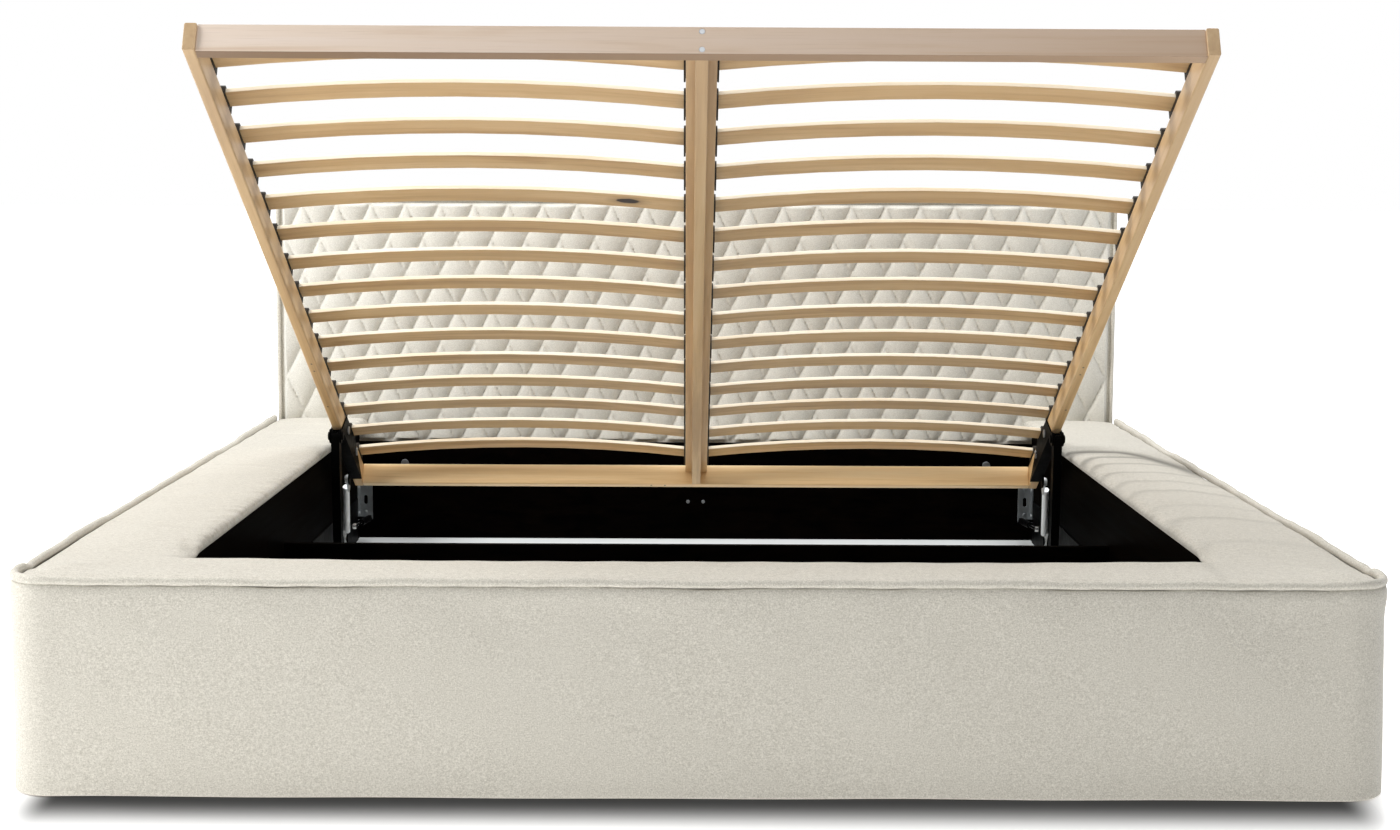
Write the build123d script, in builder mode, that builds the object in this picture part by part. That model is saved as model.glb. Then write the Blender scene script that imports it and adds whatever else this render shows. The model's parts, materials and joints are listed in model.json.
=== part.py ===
"""Upholstered storage bed with its slat frame raised on a lift linkage.

Millimetres. The origin is on the floor in the middle of the footprint. +Z is up, +Y points to the
headboard, and +X to the right of someone who faces the headboard. The model stands as it does with
the slat frame fully open.
"""
import os
from math import atan2, cos, degrees, hypot, radians, sin

from build123d import *

os.makedirs("parts", exist_ok=True)

# Slat frame
frame_width = 1600.0
frame_length = 1980.0
rail_thickness = 20.0
rail_height = 48.0
rail_overhang = 5.0            # the side rails run past the foot rail
rail_round = 3.0
beam_width = 50.0
flange_thickness = 18.0
web_thickness = 20.0
slat_rows = 15
slat_width = 48.0
slat_thickness = 8.0
first_slat_margin = 149.0      # from the foot end to the first slat's edge nearer the head
last_slat_margin = 53.0        # from the head end to the last slat
slat_bow = 22.0                # rise of a slat's middle above its ends
slat_segments = 8              # straight lengths that stand for a slat's bow
slat_lift = 8.0                # cap floor under a slat's end
slat_seat = 11.0               # how far a slat's end reaches into its cap
cap_length = 66.0
cap_overhang = 3.5             # beam caps beyond the beam
cap_roof = 3.0
cap_slack = 0.4
cap_skirt = 8.0
cap_round = 6.0

# Bed box
side_gap = 18.0                # lowered frame to the side ledges
foot_gap = 28.0
head_gap = 20.0
side_ledge_width = 240.0
foot_ledge_width = 222.0
wall_setback = 22.0            # the ledges overhang the black boards
board_thickness = 18.0
outer_board_thickness = 16.0
ledge_board_thickness = 16.0
ledge_board_top = 320.0
head_board_top = 283.0
ledge_crown = 345.0            # top of the padded ledge
crown_rise = 6.0
pad_roll = 17.0
pad_draw_in = 3.0
cover_thickness = 6.0
cover_top = 316.0
corner_radius = 70.0
glide_height = 6.0
glide_length = 60.0
glide_width = 14.0
piping_diameter = 12.0
piping_inset = 6.5
piping_clearance = 0.5
rib_count = 3
rib_thickness = 16.0

# Storage floor, divider and rests
floor_top = 42.0
floor_thickness = 6.0
batten_width = 40.0
battens_per_bay = 3
divider_top = 198.0
divider_place = 12.0           # middle of the divider along the bed
rest_depth = 65.0
rest_height = 30.0
rest_end_gap = 40.0            # leaves room for the corner brackets
rest_gap = 2.0                 # under the lowered frame

# Headboard
headboard_inset = 16.0         # each end behind the outer edge of the ledge
headboard_height = 892.0
headboard_thickness = 112.0
quilt_thickness = 42.0
quilt_border = 11.0
headboard_board_thickness = 30.0
headboard_batten_width = 60.0
diamond_width = 85.0
diamond_height = 172.0
channel_width = 15.0
channel_depth = 11.0
quilt_edge_round = 9.0
headboard_piping_diameter = 9.0

# Lift linkage, seen from the side; a place along the frame is counted from its foot end
open_tilt = 27.5
open_head_setback = 338.7      # head end of the frame's underside when open, from the black wall
open_head_height = 218.7
arm_back = 378.4               # upper pivot of the front arm, back from the frame's head end
arm_drop = 20.0                # and below the frame's underside
link_back = 80.0
link_drop = 12.0
arm_base_height = 100.0        # lower pivots above the floor
link_base_height = 84.0
arm_width = 18.0
arm_depth = 28.0
arm_wall = 3.0
link_diameter = 16.0
link_eye_thickness = 4.0
link_eye_radius = 11.0
link_neck = 27.0               # eye centre to the round part of the link
link_splay = 14.5              # the link's foot stands further out than its head
plate_thickness = 3.0
plate_running_gap = 1.0
pin_radius = 5.0
pin_clearance = 0.05
pin_head_radius = 9.0
pin_head_height = 3.5
lug_radius = 16.0
bracket_lead = 40.0            # the plate reaches full height this far past its pivot's lug
bracket_full_back = 190.0      # the plate has the rail's full height up to here
bracket_back = 55.0
front_bolt_back = 296.0
rear_bolt_back = 162.0
carriage_bolt_height = 25.0
carriage_bolt_radius = 4.0
carriage_head_radius = 9.0
carriage_head_height = 3.0
base_plate_height = 105.0
base_plate_foot_margin = 55.0
base_plate_head_margin = 18.0
cheek_half_length = 32.0
strut_base_setback = 58.0      # from the black wall
strut_base_z = 100.0
strut_stud_radius_place = 45.0   # along the link from its foot pivot
strut_inset = 34.0               # strut's centre line from the black wall
cylinder_diameter = 16.0
cylinder_length = 140.0
cylinder_floor = 4.0
rod_reach = 165.0
cylinder_eye_reach = 12.0
rod_diameter = 7.0
socket_radius = 7.0
socket_width = 8.0
stud_radius = 3.5

# Fasteners of the box
corner_bracket_width = 34.0
corner_bracket_height = 100.0
corner_bracket_bottom = 88.0
corner_bracket_thickness = 2.5
corner_screw_low = 18.0
corner_screw_high = 82.0
corner_slot_length = 22.0
corner_slot_width = 9.0
slot_corner_share = 0.29       # flats that stand for the slot's round ends
screw_radius = 2.0
screw_head_radius = 4.5
screw_head_height = 2.5
screw_length = 14.0            # screws of the head panel
headboard_bolt_inset = 75.0    # from the side of the slat frame
headboard_bolt_z = 230.0
headboard_bolt_radius = 4.0
headboard_bolt_head_radius = 10.0
headboard_bolt_head_height = 5.0
headboard_nut_radius = 8.0
headboard_nut_height = 7.0
batten_screw_x = 19.0
batten_screw_z = 136.0
bore_clearance = 0.2
frame_screw_low = 8.0
frame_screw_high = 40.0
frame_screw_radius = 2.5
frame_screw_head_radius = 5.0
frame_screw_head_depth = 3.0
frame_screw_length = 60.0

# Sides of small round heads, shanks, eyes and piping, kept few because they repeat
round_sides = 12
small_round_sides = 8
eye_sides = 16

# One overrun serves every through cut
overrun = 20.0
mitre_share = 1.1              # a mitre's cut runs past the corner by a tenth

# Places that follow from the sizes above
opening_half = frame_width / 2 + side_gap
base_half = opening_half + side_ledge_width
box_depth = foot_ledge_width + foot_gap + frame_length + head_gap + board_thickness
foot_y = -(box_depth + headboard_thickness) / 2
box_back_y = foot_y + box_depth
headboard_back_y = box_back_y + headboard_thickness
ledge_edge_y = foot_y + foot_ledge_width
wall_x = opening_half + wall_setback
foot_wall_y = ledge_edge_y - wall_setback
head_wall_y = box_back_y - board_thickness
board_bottom = glide_height
ledge_board_bottom = ledge_board_top - ledge_board_thickness
core_half = base_half - cover_thickness
core_foot_y = foot_y + cover_thickness
core_radius = corner_radius - cover_thickness
outer_board_x = core_half - outer_board_thickness
outer_board_y = core_foot_y + outer_board_thickness
corner_x = core_half - core_radius
corner_y = core_foot_y + core_radius
pad_half = base_half - piping_inset - piping_diameter / 2 - piping_clearance
pad_foot_y = foot_y + base_half - pad_half
pad_radius = corner_radius - (base_half - pad_half)
frame_half = frame_width / 2
rail_inner_x = frame_half - rail_thickness
closed_foot_y = ledge_edge_y + foot_gap
closed_foot_z = divider_top + rest_gap
headboard_width = 2 * (base_half - headboard_inset)
headboard_bolt_x = frame_half - headboard_bolt_inset
slat_pitch = (frame_length - first_slat_margin - last_slat_margin) / (slat_rows - 1)
tilt = radians(open_tilt)
open_foot_y = head_wall_y - open_head_setback - frame_length * cos(tilt)
open_foot_z = open_head_height + frame_length * sin(tilt)
arm_station = frame_length - arm_back
link_station = frame_length - link_back
bracket_full_end = frame_length - bracket_full_back
bracket_end = frame_length - bracket_back
carriage_bolt_stations = (frame_length - front_bolt_back, frame_length - rear_bolt_back)
strut_base_y = head_wall_y - strut_base_setback


def open_point(station, height):
    """Place (y, z) of a point of the slat frame in its open pose."""
    return (open_foot_y + station * cos(tilt) + height * sin(tilt),
            open_foot_z - station * sin(tilt) + height * cos(tilt))


def closed_point(station, height):
    """Place (y, z) of the same point with the slat frame lowered flat."""
    return closed_foot_y + station, closed_foot_z + height


def base_pivot(station, height, base_height):
    """Pivot on the bed box, at the same distance from a frame point in both poses."""
    open_y, open_z = open_point(station, height)
    closed_y, closed_z = closed_point(station, height)
    half_gap = (closed_y**2 + closed_z**2 - open_y**2 - open_z**2) / 2
    return (half_gap - base_height * (closed_z - open_z)) / (closed_y - open_y), base_height


def angle_of(start, end):
    """Angle of a line in the side view, in degrees from +Y."""
    return degrees(atan2(end[1] - start[1], end[0] - start[0]))


def distance(start, end):
    """Length of a line in the side view."""
    return hypot(end[0] - start[0], end[1] - start[1])


def along(start, end, share):
    """Point at a share of the way between two points of the side view."""
    return start[0] + share * (end[0] - start[0]), start[1] + share * (end[1] - start[1])


arm_foot = base_pivot(arm_station, -arm_drop, arm_base_height)
arm_head = open_point(arm_station, -arm_drop)
link_foot = base_pivot(link_station, -link_drop, link_base_height)
link_head = open_point(link_station, -link_drop)
link_length = distance(link_foot, link_head)
strut_foot = (strut_base_y, strut_base_z)
strut_head = along(link_foot, link_head, strut_stud_radius_place / link_length)

frame_plane = Plane(origin=(0, open_foot_y, open_foot_z), x_dir=(1, 0, 0),
                    z_dir=(0, sin(tilt), cos(tilt)))


def frame_side_plane(x):
    """Side view of the slat frame at x: station along the frame, height above its underside."""
    return Plane(origin=(x, open_foot_y, open_foot_z), x_dir=(0, cos(tilt), -sin(tilt)),
                 z_dir=(1, 0, 0))


def frame_end_plane(station):
    """Plane across the slat frame: x and height above its underside, facing the head end."""
    y, z = open_point(station, 0)
    return Plane(origin=(0, y, z), x_dir=(-1, 0, 0), z_dir=(0, cos(tilt), -sin(tilt)))


def keep(shape, label):
    """Label a finished piece and write its file."""
    shape.label = label
    export_step(shape, f"parts/{label}.step")


def keep_pair(right, label):
    """Write a right-hand piece and its mirror image on the left."""
    keep(right.part, f"{label}_right")
    with BuildPart() as left:
        mirror(right.part, about=Plane.YZ)
    keep(left.part, f"{label}_left")


def keep_both(right, label):
    """Write a right-hand piece and its mirror image as one group."""
    with BuildPart() as both:
        add(right.part)
        mirror(right.part, about=Plane.YZ)
    keep(both.part, label)


def block(x_range, y_range, z_range):
    """Add a rectangular board to the open part, given by its limits."""
    with BuildSketch(Plane.XY.offset(z_range[0])) as profile:
        with Locations(((x_range[0] + x_range[1]) / 2, (y_range[0] + y_range[1]) / 2)):
            Rectangle(x_range[1] - x_range[0], y_range[1] - y_range[0])
    extrude(profile.sketch, amount=z_range[1] - z_range[0])


# Boards of the bed box
def inner_boards():
    """Black boards that line the storage space."""
    with BuildPart() as side:
        block((wall_x, wall_x + board_thickness), (foot_wall_y - board_thickness, box_back_y),
              (board_bottom, ledge_board_top))
    keep_pair(side, "inner_board")
    with BuildPart() as foot:
        block((-wall_x, wall_x), (foot_wall_y - board_thickness, foot_wall_y),
              (board_bottom, ledge_board_top))
    keep(foot.part, "inner_board_foot")
    with BuildPart() as head:
        block((-wall_x, wall_x), (head_wall_y, box_back_y), (board_bottom, head_board_top))
        with BuildSketch(Plane.XZ.offset(-head_wall_y)):
            with Locations((-headboard_bolt_x, headboard_bolt_z), (headboard_bolt_x, headboard_bolt_z)):
                RegularPolygon(headboard_bolt_radius + bore_clearance, small_round_sides)
            with Locations((-batten_screw_x, batten_screw_z), (batten_screw_x, batten_screw_z)):
                RegularPolygon(screw_radius + bore_clearance, small_round_sides)
        extrude(amount=-board_thickness - overrun, mode=Mode.SUBTRACT)
    keep(head.part, "inner_board_head")


def outer_boards():
    """Plain boards under the cover, the foot one with rounded ends, and the ribs between boards."""
    with BuildPart() as side:
        block((outer_board_x, core_half), (corner_y, box_back_y), (board_bottom, ledge_board_bottom))
    keep_pair(side, "outer_board")
    with BuildPart() as foot:
        block((-corner_x, corner_x), (core_foot_y, outer_board_y), (board_bottom, ledge_board_bottom))
        for hand in (-1, 1):
            with BuildSketch(Plane.XY.offset(board_bottom)):
                with BuildLine():
                    arc = CenterArc((hand * corner_x, corner_y), core_radius, 270, hand * 90)
                    Polyline(arc @ 0, (hand * corner_x, corner_y), arc @ 1)
                make_face()
            extrude(amount=ledge_board_bottom - board_bottom)
    keep(foot.part, "outer_board_foot")
    with BuildPart() as ribs:
        for row in range(rib_count):
            y = corner_y + (box_back_y - corner_y) * (row + 1) / (rib_count + 1)
            x = corner_x * (2 * (row + 1) / (rib_count + 1) - 1)
            rib_z = (board_bottom, ledge_board_bottom)
            for hand in (-1, 1):
                x_limits = sorted((hand * (wall_x + board_thickness), hand * outer_board_x))
                block(x_limits, (y - rib_thickness / 2, y + rib_thickness / 2), rib_z)
            block((x - rib_thickness / 2, x + rib_thickness / 2),
                  (outer_board_y, foot_wall_y - board_thickness), rib_z)
    keep(ribs.part, "ledge_ribs")


def ledge_boards():
    """Boards under the padding, with the rounded corners on the foot one."""
    inner_y = foot_wall_y - board_thickness
    with BuildPart() as side:
        block((wall_x + board_thickness, pad_half), (inner_y, box_back_y),
              (ledge_board_bottom, ledge_board_top))
    keep_pair(side, "ledge_board")
    with BuildPart() as foot:
        block((-pad_half, pad_half), (pad_foot_y, inner_y), (ledge_board_bottom, ledge_board_top))
        fillet(foot.edges().filter_by(Axis.Z).group_by(Axis.Y)[0], pad_radius)
    keep(foot.part, "ledge_board_foot")


def pad_profile(plane, inner, outer):
    """Section of the ledge padding: a half-round inner edge, a crown and a rolled outer edge."""
    shoulder = ledge_crown - crown_rise
    edge_radius = (shoulder - ledge_board_top) / 2
    roll_start = shoulder - pad_roll
    slack = pad_roll * (1 - cos(radians(45)))
    middle = (inner + outer) / 2
    with BuildSketch(plane) as profile:
        with BuildLine():
            Polyline((inner + edge_radius, ledge_board_top), (outer - pad_draw_in, ledge_board_top),
                     (outer, roll_start))
            ThreePointArc((outer, roll_start), (outer - slack, shoulder - slack),
                          (outer - pad_roll, shoulder))
            ThreePointArc((outer - pad_roll, shoulder), (middle, ledge_crown),
                          (inner + edge_radius, shoulder))
            ThreePointArc((inner + edge_radius, shoulder), (inner, shoulder - edge_radius),
                          (inner + edge_radius, ledge_board_top))
        make_face()
    return profile.sketch


def pad_limits(*points):
    """Solid that a pad is trimmed to: a plan outline with the bed's rounded outer corners."""
    with BuildPart() as limits:
        block((-pad_half, pad_half), (pad_foot_y, box_back_y), (0, ledge_crown + overrun))
        fillet(limits.edges().filter_by(Axis.Z).group_by(Axis.Y)[0], pad_radius)
        with BuildSketch():
            with BuildLine():
                Polyline(*points, close=True)
            make_face()
        extrude(amount=ledge_crown + overrun, mode=Mode.INTERSECT)
    return limits.part


def ledge_pads():
    """Padding of the two side ledges and the foot ledge, mitred at the corners."""
    inner_corner = (opening_half, ledge_edge_y)
    outer_corner = along(inner_corner, (pad_half, pad_foot_y), mitre_share)
    side_limits = pad_limits(inner_corner, outer_corner, (outer_corner[0], box_back_y),
                             (opening_half, box_back_y))
    with BuildPart() as side:
        profile = pad_profile(Plane.XZ.offset(-box_back_y), opening_half, pad_half)
        extrude(profile, amount=box_back_y - pad_foot_y)
        add(side_limits, mode=Mode.INTERSECT)
    keep_pair(side, "ledge_pad")
    foot_limits = pad_limits(inner_corner, outer_corner, (-outer_corner[0], outer_corner[1]),
                             (-opening_half, ledge_edge_y))
    with BuildPart() as foot:
        end_plane = Plane(origin=(-pad_half, 0, 0), x_dir=(0, -1, 0), z_dir=(-1, 0, 0))
        profile = pad_profile(end_plane, -ledge_edge_y, -pad_foot_y)
        extrude(profile, amount=-2 * pad_half)
        add(foot_limits, mode=Mode.INTERSECT)
    keep(foot.part, "ledge_pad_foot")


def covers():
    """Fabric cover of the box's outer faces, with the piping along its top."""
    cover_z = (glide_height, cover_top)
    with BuildPart() as side:
        block((core_half, base_half), (corner_y, box_back_y), cover_z)
    keep_pair(side, "side_cover")
    with BuildPart() as foot:
        block((-base_half, base_half), (foot_y, corner_y + overrun), cover_z)
        fillet(foot.edges().filter_by(Axis.Z).group_by(Axis.Y)[0], corner_radius)
        with BuildSketch(Plane.XY.offset(glide_height)):
            with Locations((0, core_foot_y + corner_radius)):
                Rectangle(2 * core_half, 2 * corner_radius)
            fillet(vertices().group_by(Axis.Y)[0], core_radius)
            with Locations((0, corner_y + corner_radius)):
                Rectangle(2 * base_half, 2 * corner_radius)
        extrude(amount=cover_top - glide_height, mode=Mode.SUBTRACT)
    keep(foot.part, "foot_cover")
    x = base_half - piping_inset
    y = foot_y + piping_inset
    z = cover_top + piping_diameter / 2
    with BuildPart() as piping:
        with BuildLine() as path:
            FilletPolyline((-x, box_back_y, z), (-x, y, z), (x, y, z), (x, box_back_y, z),
                           radius=corner_radius - piping_inset)
        with BuildSketch(Plane(origin=path.line @ 0, z_dir=path.line % 0)):
            RegularPolygon(piping_diameter / 2, round_sides)
        sweep()
    keep(piping.part, "ledge_piping")


def storage_floor():
    """Floor panels on battens, the divider between the bays, the rest for the foot rail, the glides."""
    divider_y = (divider_place - board_thickness / 2, divider_place + board_thickness / 2)
    panel_z = (floor_top - floor_thickness, floor_top)
    bays = ((foot_wall_y, divider_y[0]), (divider_y[1], head_wall_y))
    with BuildPart() as panels:
        for bay in bays:
            block((-wall_x, wall_x), bay, panel_z)
    keep(panels.part, "floor_panels")
    with BuildPart() as battens:
        for bay in bays:
            for row in range(battens_per_bay):
                y = bay[0] + (bay[1] - bay[0]) * (row + 1 / 2) / battens_per_bay
                block((-wall_x, wall_x), (y - batten_width / 2, y + batten_width / 2),
                      (board_bottom, panel_z[0]))
    keep(battens.part, "floor_battens")
    with BuildPart() as divider:
        block((-wall_x, wall_x), divider_y, (board_bottom, divider_top))
    keep(divider.part, "mid_divider")
    with BuildPart() as rest:
        rest_half = wall_x - rest_end_gap
        block((-rest_half, rest_half), (foot_wall_y, foot_wall_y + rest_depth),
              (divider_top - rest_height, divider_top))
    keep(rest.part, "foot_rest")
    with BuildPart() as glides:
        for hand in (-1, 1):
            for x, start in ((wall_x + board_thickness / 2, foot_wall_y),
                             (core_half - outer_board_thickness / 2, corner_y)):
                for share in (0, 1 / 2, 1):
                    y = start + glide_length / 2 + share * (box_back_y - start - glide_length)
                    x_limits = (hand * x - glide_width / 2, hand * x + glide_width / 2)
                    block(x_limits, (y - glide_length / 2, y + glide_length / 2), (0, glide_height))
        for x in (-corner_x + glide_length, 0, corner_x - glide_length):
            y = core_foot_y + outer_board_thickness / 2
            block((x - glide_length / 2, x + glide_length / 2), (y - glide_width / 2, y + glide_width / 2),
                  (0, glide_height))
    keep(glides.part, "glides")


# Headboard
def channels(lean):
    """Sewn channels of the quilting that lean one way, cut into the quilt's front face."""
    slope = atan2(diamond_width, diamond_height) * lean
    direction = (sin(slope), 0, cos(slope))
    across = (cos(slope), 0, -sin(slope))
    spacing = diamond_width * cos(slope)
    reach = (headboard_width + headboard_height) / 2
    lines = int(reach / spacing)
    length = headboard_width + headboard_height
    centre = Plane(origin=(0, box_back_y, headboard_height / 2), x_dir=across, z_dir=direction)
    half_width = channel_width / 2
    with BuildSketch(centre.offset(-length / 2)) as profile:
        with Locations(*[(spacing * line, 0) for line in range(-lines, lines + 1)]):
            Polygon((-half_width, 0), (-half_width, -half_width), (half_width, -half_width), (half_width, 0),
                    (0, channel_depth), align=None)
    extrude(profile.sketch, amount=length, mode=Mode.SUBTRACT)


def headboard():
    """Quilted front pad, board, battens, cover of the edges and back, and the piping."""
    half = headboard_width / 2
    quilt_half = half - quilt_border
    quilt_top = headboard_height - quilt_border
    quilt_back = box_back_y + quilt_thickness
    board_back = quilt_back + headboard_board_thickness
    inner_half = half - cover_thickness
    inner_top = headboard_height - cover_thickness
    inner_back = headboard_back_y - cover_thickness

    def bolt_holes(start_y, depth):
        with BuildSketch(Plane.XZ.offset(-start_y)) as profile:
            with Locations((-headboard_bolt_x, headboard_bolt_z), (headboard_bolt_x, headboard_bolt_z)):
                RegularPolygon(headboard_bolt_radius + bore_clearance, small_round_sides)
        extrude(profile.sketch, amount=-depth - overrun, mode=Mode.SUBTRACT)

    with BuildPart() as quilt:
        block((-quilt_half, quilt_half), (box_back_y, quilt_back), (head_board_top, quilt_top))
        front = quilt.faces().sort_by(Axis.Y)[0]
        chamfer(front.edges().group_by(Axis.Z)[-1] + front.edges().filter_by(Axis.Z), quilt_edge_round)
        channels(1)
        channels(-1)
        block((-quilt_half, quilt_half), (box_back_y, quilt_back), (board_bottom, head_board_top))
        bolt_holes(box_back_y, quilt_thickness)
    keep(quilt.part, "headboard_quilt")
    with BuildPart() as board:
        block((-inner_half, inner_half), (quilt_back, board_back), (board_bottom, inner_top))
        bolt_holes(quilt_back, headboard_board_thickness)
    keep(board.part, "headboard_board")
    with BuildPart() as battens:
        batten_y = (board_back, inner_back)
        upright_top = inner_top - headboard_batten_width
        low_top = board_bottom + headboard_batten_width
        for x in (-inner_half + headboard_batten_width / 2, 0, inner_half - headboard_batten_width / 2):
            block((x - headboard_batten_width / 2, x + headboard_batten_width / 2), batten_y,
                  (low_top, upright_top))
        block((-inner_half, inner_half), batten_y, (upright_top, inner_top))
        block((-inner_half, inner_half), batten_y, (board_bottom, low_top))
    keep(battens.part, "headboard_battens")
    cover_front = box_back_y + headboard_piping_diameter
    with BuildPart() as cover:
        block((-half, half), (cover_front, headboard_back_y), (board_bottom, headboard_height))
        with BuildSketch(Plane.XY.offset(board_bottom)):
            with Locations((0, (cover_front + inner_back) / 2)):
                Rectangle(2 * inner_half, inner_back - cover_front)
        extrude(amount=inner_top - board_bottom, mode=Mode.SUBTRACT)
    keep(cover.part, "headboard_cover")
    x = half - headboard_piping_diameter / 2
    y = box_back_y + headboard_piping_diameter / 2
    top = headboard_height - headboard_piping_diameter / 2
    with BuildPart() as piping:
        with BuildLine() as path:
            FilletPolyline((-x, y, board_bottom), (-x, y, top), (x, y, top), (x, y, board_bottom),
                           radius=headboard_piping_diameter)
        with BuildSketch(Plane(origin=path.line @ 0, z_dir=path.line % 0)):
            RegularPolygon(headboard_piping_diameter / 2, small_round_sides)
        sweep()
    keep(piping.part, "headboard_piping")


# Fasteners of the box
def box_fasteners():
    """Corner brackets, their screws, and the headboard bolts."""
    with BuildPart() as brackets:
        for hand in (-1, 1):
            for wall_y, inward in ((head_wall_y, -1), (foot_wall_y, 1)):
                x = hand * wall_x
                leg_x = x - hand * corner_bracket_width
                face_x = x - hand * corner_bracket_thickness
                leg_y = wall_y + inward * corner_bracket_width
                face_y = wall_y + inward * corner_bracket_thickness
                with BuildSketch(Plane.XY.offset(corner_bracket_bottom)):
                    with BuildLine():
                        Polyline((x, wall_y), (leg_x, wall_y), (leg_x, face_y), (face_x, face_y),
                                 (face_x, leg_y), (x, leg_y), close=True)
                    make_face()
                extrude(amount=corner_bracket_height)
        slot_x = wall_x - corner_bracket_width / 2
        slot_z = corner_bracket_bottom + corner_bracket_height / 2
        with BuildSketch(Plane.XZ.offset(-head_wall_y - overrun)):
            with Locations((-slot_x, slot_z), (slot_x, slot_z)):
                Rectangle(corner_slot_width, corner_slot_length)
            chamfer(vertices(), corner_slot_width * slot_corner_share)
        extrude(amount=head_wall_y - foot_wall_y + 2 * overrun, mode=Mode.SUBTRACT)
        bracket_heads()
    keep(brackets.part, "corner_brackets")

    with BuildPart() as hardware:
        headboard_bolts()
    keep(hardware.part, "box_hardware")


def wall_planes():
    """Planes on the four black walls that face into the box, each with the places of its screws."""
    offset = corner_bracket_width / 2
    heights = (corner_bracket_bottom + corner_screw_low, corner_bracket_bottom + corner_screw_high)
    walls = []
    for hand in (-1, 1):
        side_places = [(y, z) for y in (foot_wall_y + offset, head_wall_y - offset) for z in heights]
        walls.append((Plane(origin=(hand * wall_x, 0, 0), x_dir=(0, hand * -1, 0), z_dir=(-hand, 0, 0)),
                      [(-hand * y, z) for y, z in side_places]))
    for wall_y, inward in ((head_wall_y, -1), (foot_wall_y, 1)):
        places = [(hand * (wall_x - offset), z) for hand in (-1, 1) for z in heights]
        walls.append((Plane(origin=(0, wall_y, 0), x_dir=(-inward, 0, 0), z_dir=(0, inward, 0)),
                      [(-inward * x, z) for x, z in places]))
    return walls


def bracket_heads():
    """Pan heads of the corner bracket screws."""
    for plane, places in wall_planes():
        with BuildSketch(plane.offset(corner_bracket_thickness)) as profile:
            with Locations(*places):
                RegularPolygon(screw_head_radius, small_round_sides)
        extrude(profile.sketch, amount=screw_head_height)


def headboard_bolts():
    """Bolts and nuts that hold the headboard, and the two small screws of the head panel."""
    nut_start = board_thickness + quilt_thickness + headboard_board_thickness
    wall = Plane.XZ.offset(-head_wall_y)
    bolt_places = [(hand * headboard_bolt_x, headboard_bolt_z) for hand in (-1, 1)]
    screw_places = [(hand * batten_screw_x, batten_screw_z) for hand in (-1, 1)]
    for places, radius, head_radius, head_height, length in (
            (bolt_places, headboard_bolt_radius, headboard_bolt_head_radius, headboard_bolt_head_height,
             nut_start),
            (screw_places, screw_radius, screw_head_radius, screw_head_height, screw_length)):
        with BuildSketch(wall) as profile:
            with Locations(*places):
                RegularPolygon(head_radius, round_sides)
        extrude(profile.sketch, amount=head_height)
        with BuildSketch(wall) as profile:
            with Locations(*places):
                RegularPolygon(radius, small_round_sides)
        extrude(profile.sketch, amount=-length)
    with BuildSketch(wall.offset(-nut_start)) as profile:
        with Locations(*bolt_places):
            RegularPolygon(headboard_nut_radius, 6)
    extrude(profile.sketch, amount=-headboard_nut_height)


# Slat frame
def frame_rails():
    """Four solid wood rails and the T beam down the middle."""
    with BuildPart() as side:
        with BuildSketch(frame_end_plane(-rail_overhang)):
            with Locations((-frame_half + rail_thickness / 2, rail_height / 2)):
                RectangleRounded(rail_thickness, rail_height, rail_round)
        extrude(amount=frame_length + rail_overhang)
        carriage_bolt_shanks(rail_inner_x - overrun, frame_half + overrun, bore_clearance, Mode.SUBTRACT)
    keep_pair(side, "side_rail")
    head_start = frame_length - rail_thickness
    beam_span = head_start - rail_thickness
    for name, start in (("foot_rail", 0), ("head_rail", head_start)):
        with BuildPart() as rail:
            with BuildSketch(frame_plane):
                with Locations((0, start + rail_thickness / 2)):
                    Rectangle(2 * rail_inner_x, rail_thickness)
            extrude(amount=rail_height)
            frame_screws(bore_clearance, Mode.SUBTRACT)
        keep(rail.part, name)
    web_height = rail_height - flange_thickness
    for name, width, low, high in (("beam_flange", beam_width, web_height, rail_height),
                                   ("beam_web", web_thickness, 0, web_height)):
        with BuildPart() as beam:
            with BuildSketch(frame_plane.offset(low)):
                with Locations((0, rail_thickness + beam_span / 2)):
                    Rectangle(width, beam_span)
            extrude(amount=high - low)
            frame_screws(bore_clearance, Mode.SUBTRACT)
        keep(beam.part, name)


def frame_screws(clearance, mode):
    """Countersunk screws from the foot rail into the beam, or the bores for them."""
    places = ((0, frame_screw_low), (0, frame_screw_high))
    for radius, length in ((frame_screw_head_radius, frame_screw_head_depth),
                           (frame_screw_radius, frame_screw_length)):
        with BuildSketch(frame_end_plane(0)) as profile:
            with Locations(*places):
                RegularPolygon(radius + clearance, small_round_sides)
        extrude(profile.sketch, amount=length, mode=mode)


def carriage_bolt_shanks(start_x, end_x, clearance, mode):
    """Shanks of the bracket bolts on the right, or the bores for them."""
    with BuildSketch(frame_side_plane(start_x)) as profile:
        with Locations(*[(station, carriage_bolt_height) for station in carriage_bolt_stations]):
            RegularPolygon(carriage_bolt_radius + clearance, small_round_sides)
    extrude(profile.sketch, amount=end_x - start_x, mode=mode)


def frame_hardware():
    """Screws of the foot rail and the round-headed bolts of the lift brackets."""
    inner_x = rail_inner_x - plate_thickness
    with BuildPart() as bolts:
        with BuildSketch(frame_side_plane(inner_x)):
            with Locations(*[(station, carriage_bolt_height) for station in carriage_bolt_stations]):
                RegularPolygon(carriage_head_radius, round_sides)
        extrude(amount=-carriage_head_height)
        carriage_bolt_shanks(inner_x, frame_half + plate_thickness, 0, Mode.ADD)
    with BuildPart() as hardware:
        add(bolts.part)
        mirror(bolts.part, about=Plane.YZ)
        frame_screws(0, Mode.ADD)
    keep(hardware.part, "frame_hardware")


def slat_edge(row):
    """Station of a slat's edge nearer the head."""
    return frame_length - last_slat_margin - (slat_rows - 1 - row) * slat_pitch


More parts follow.
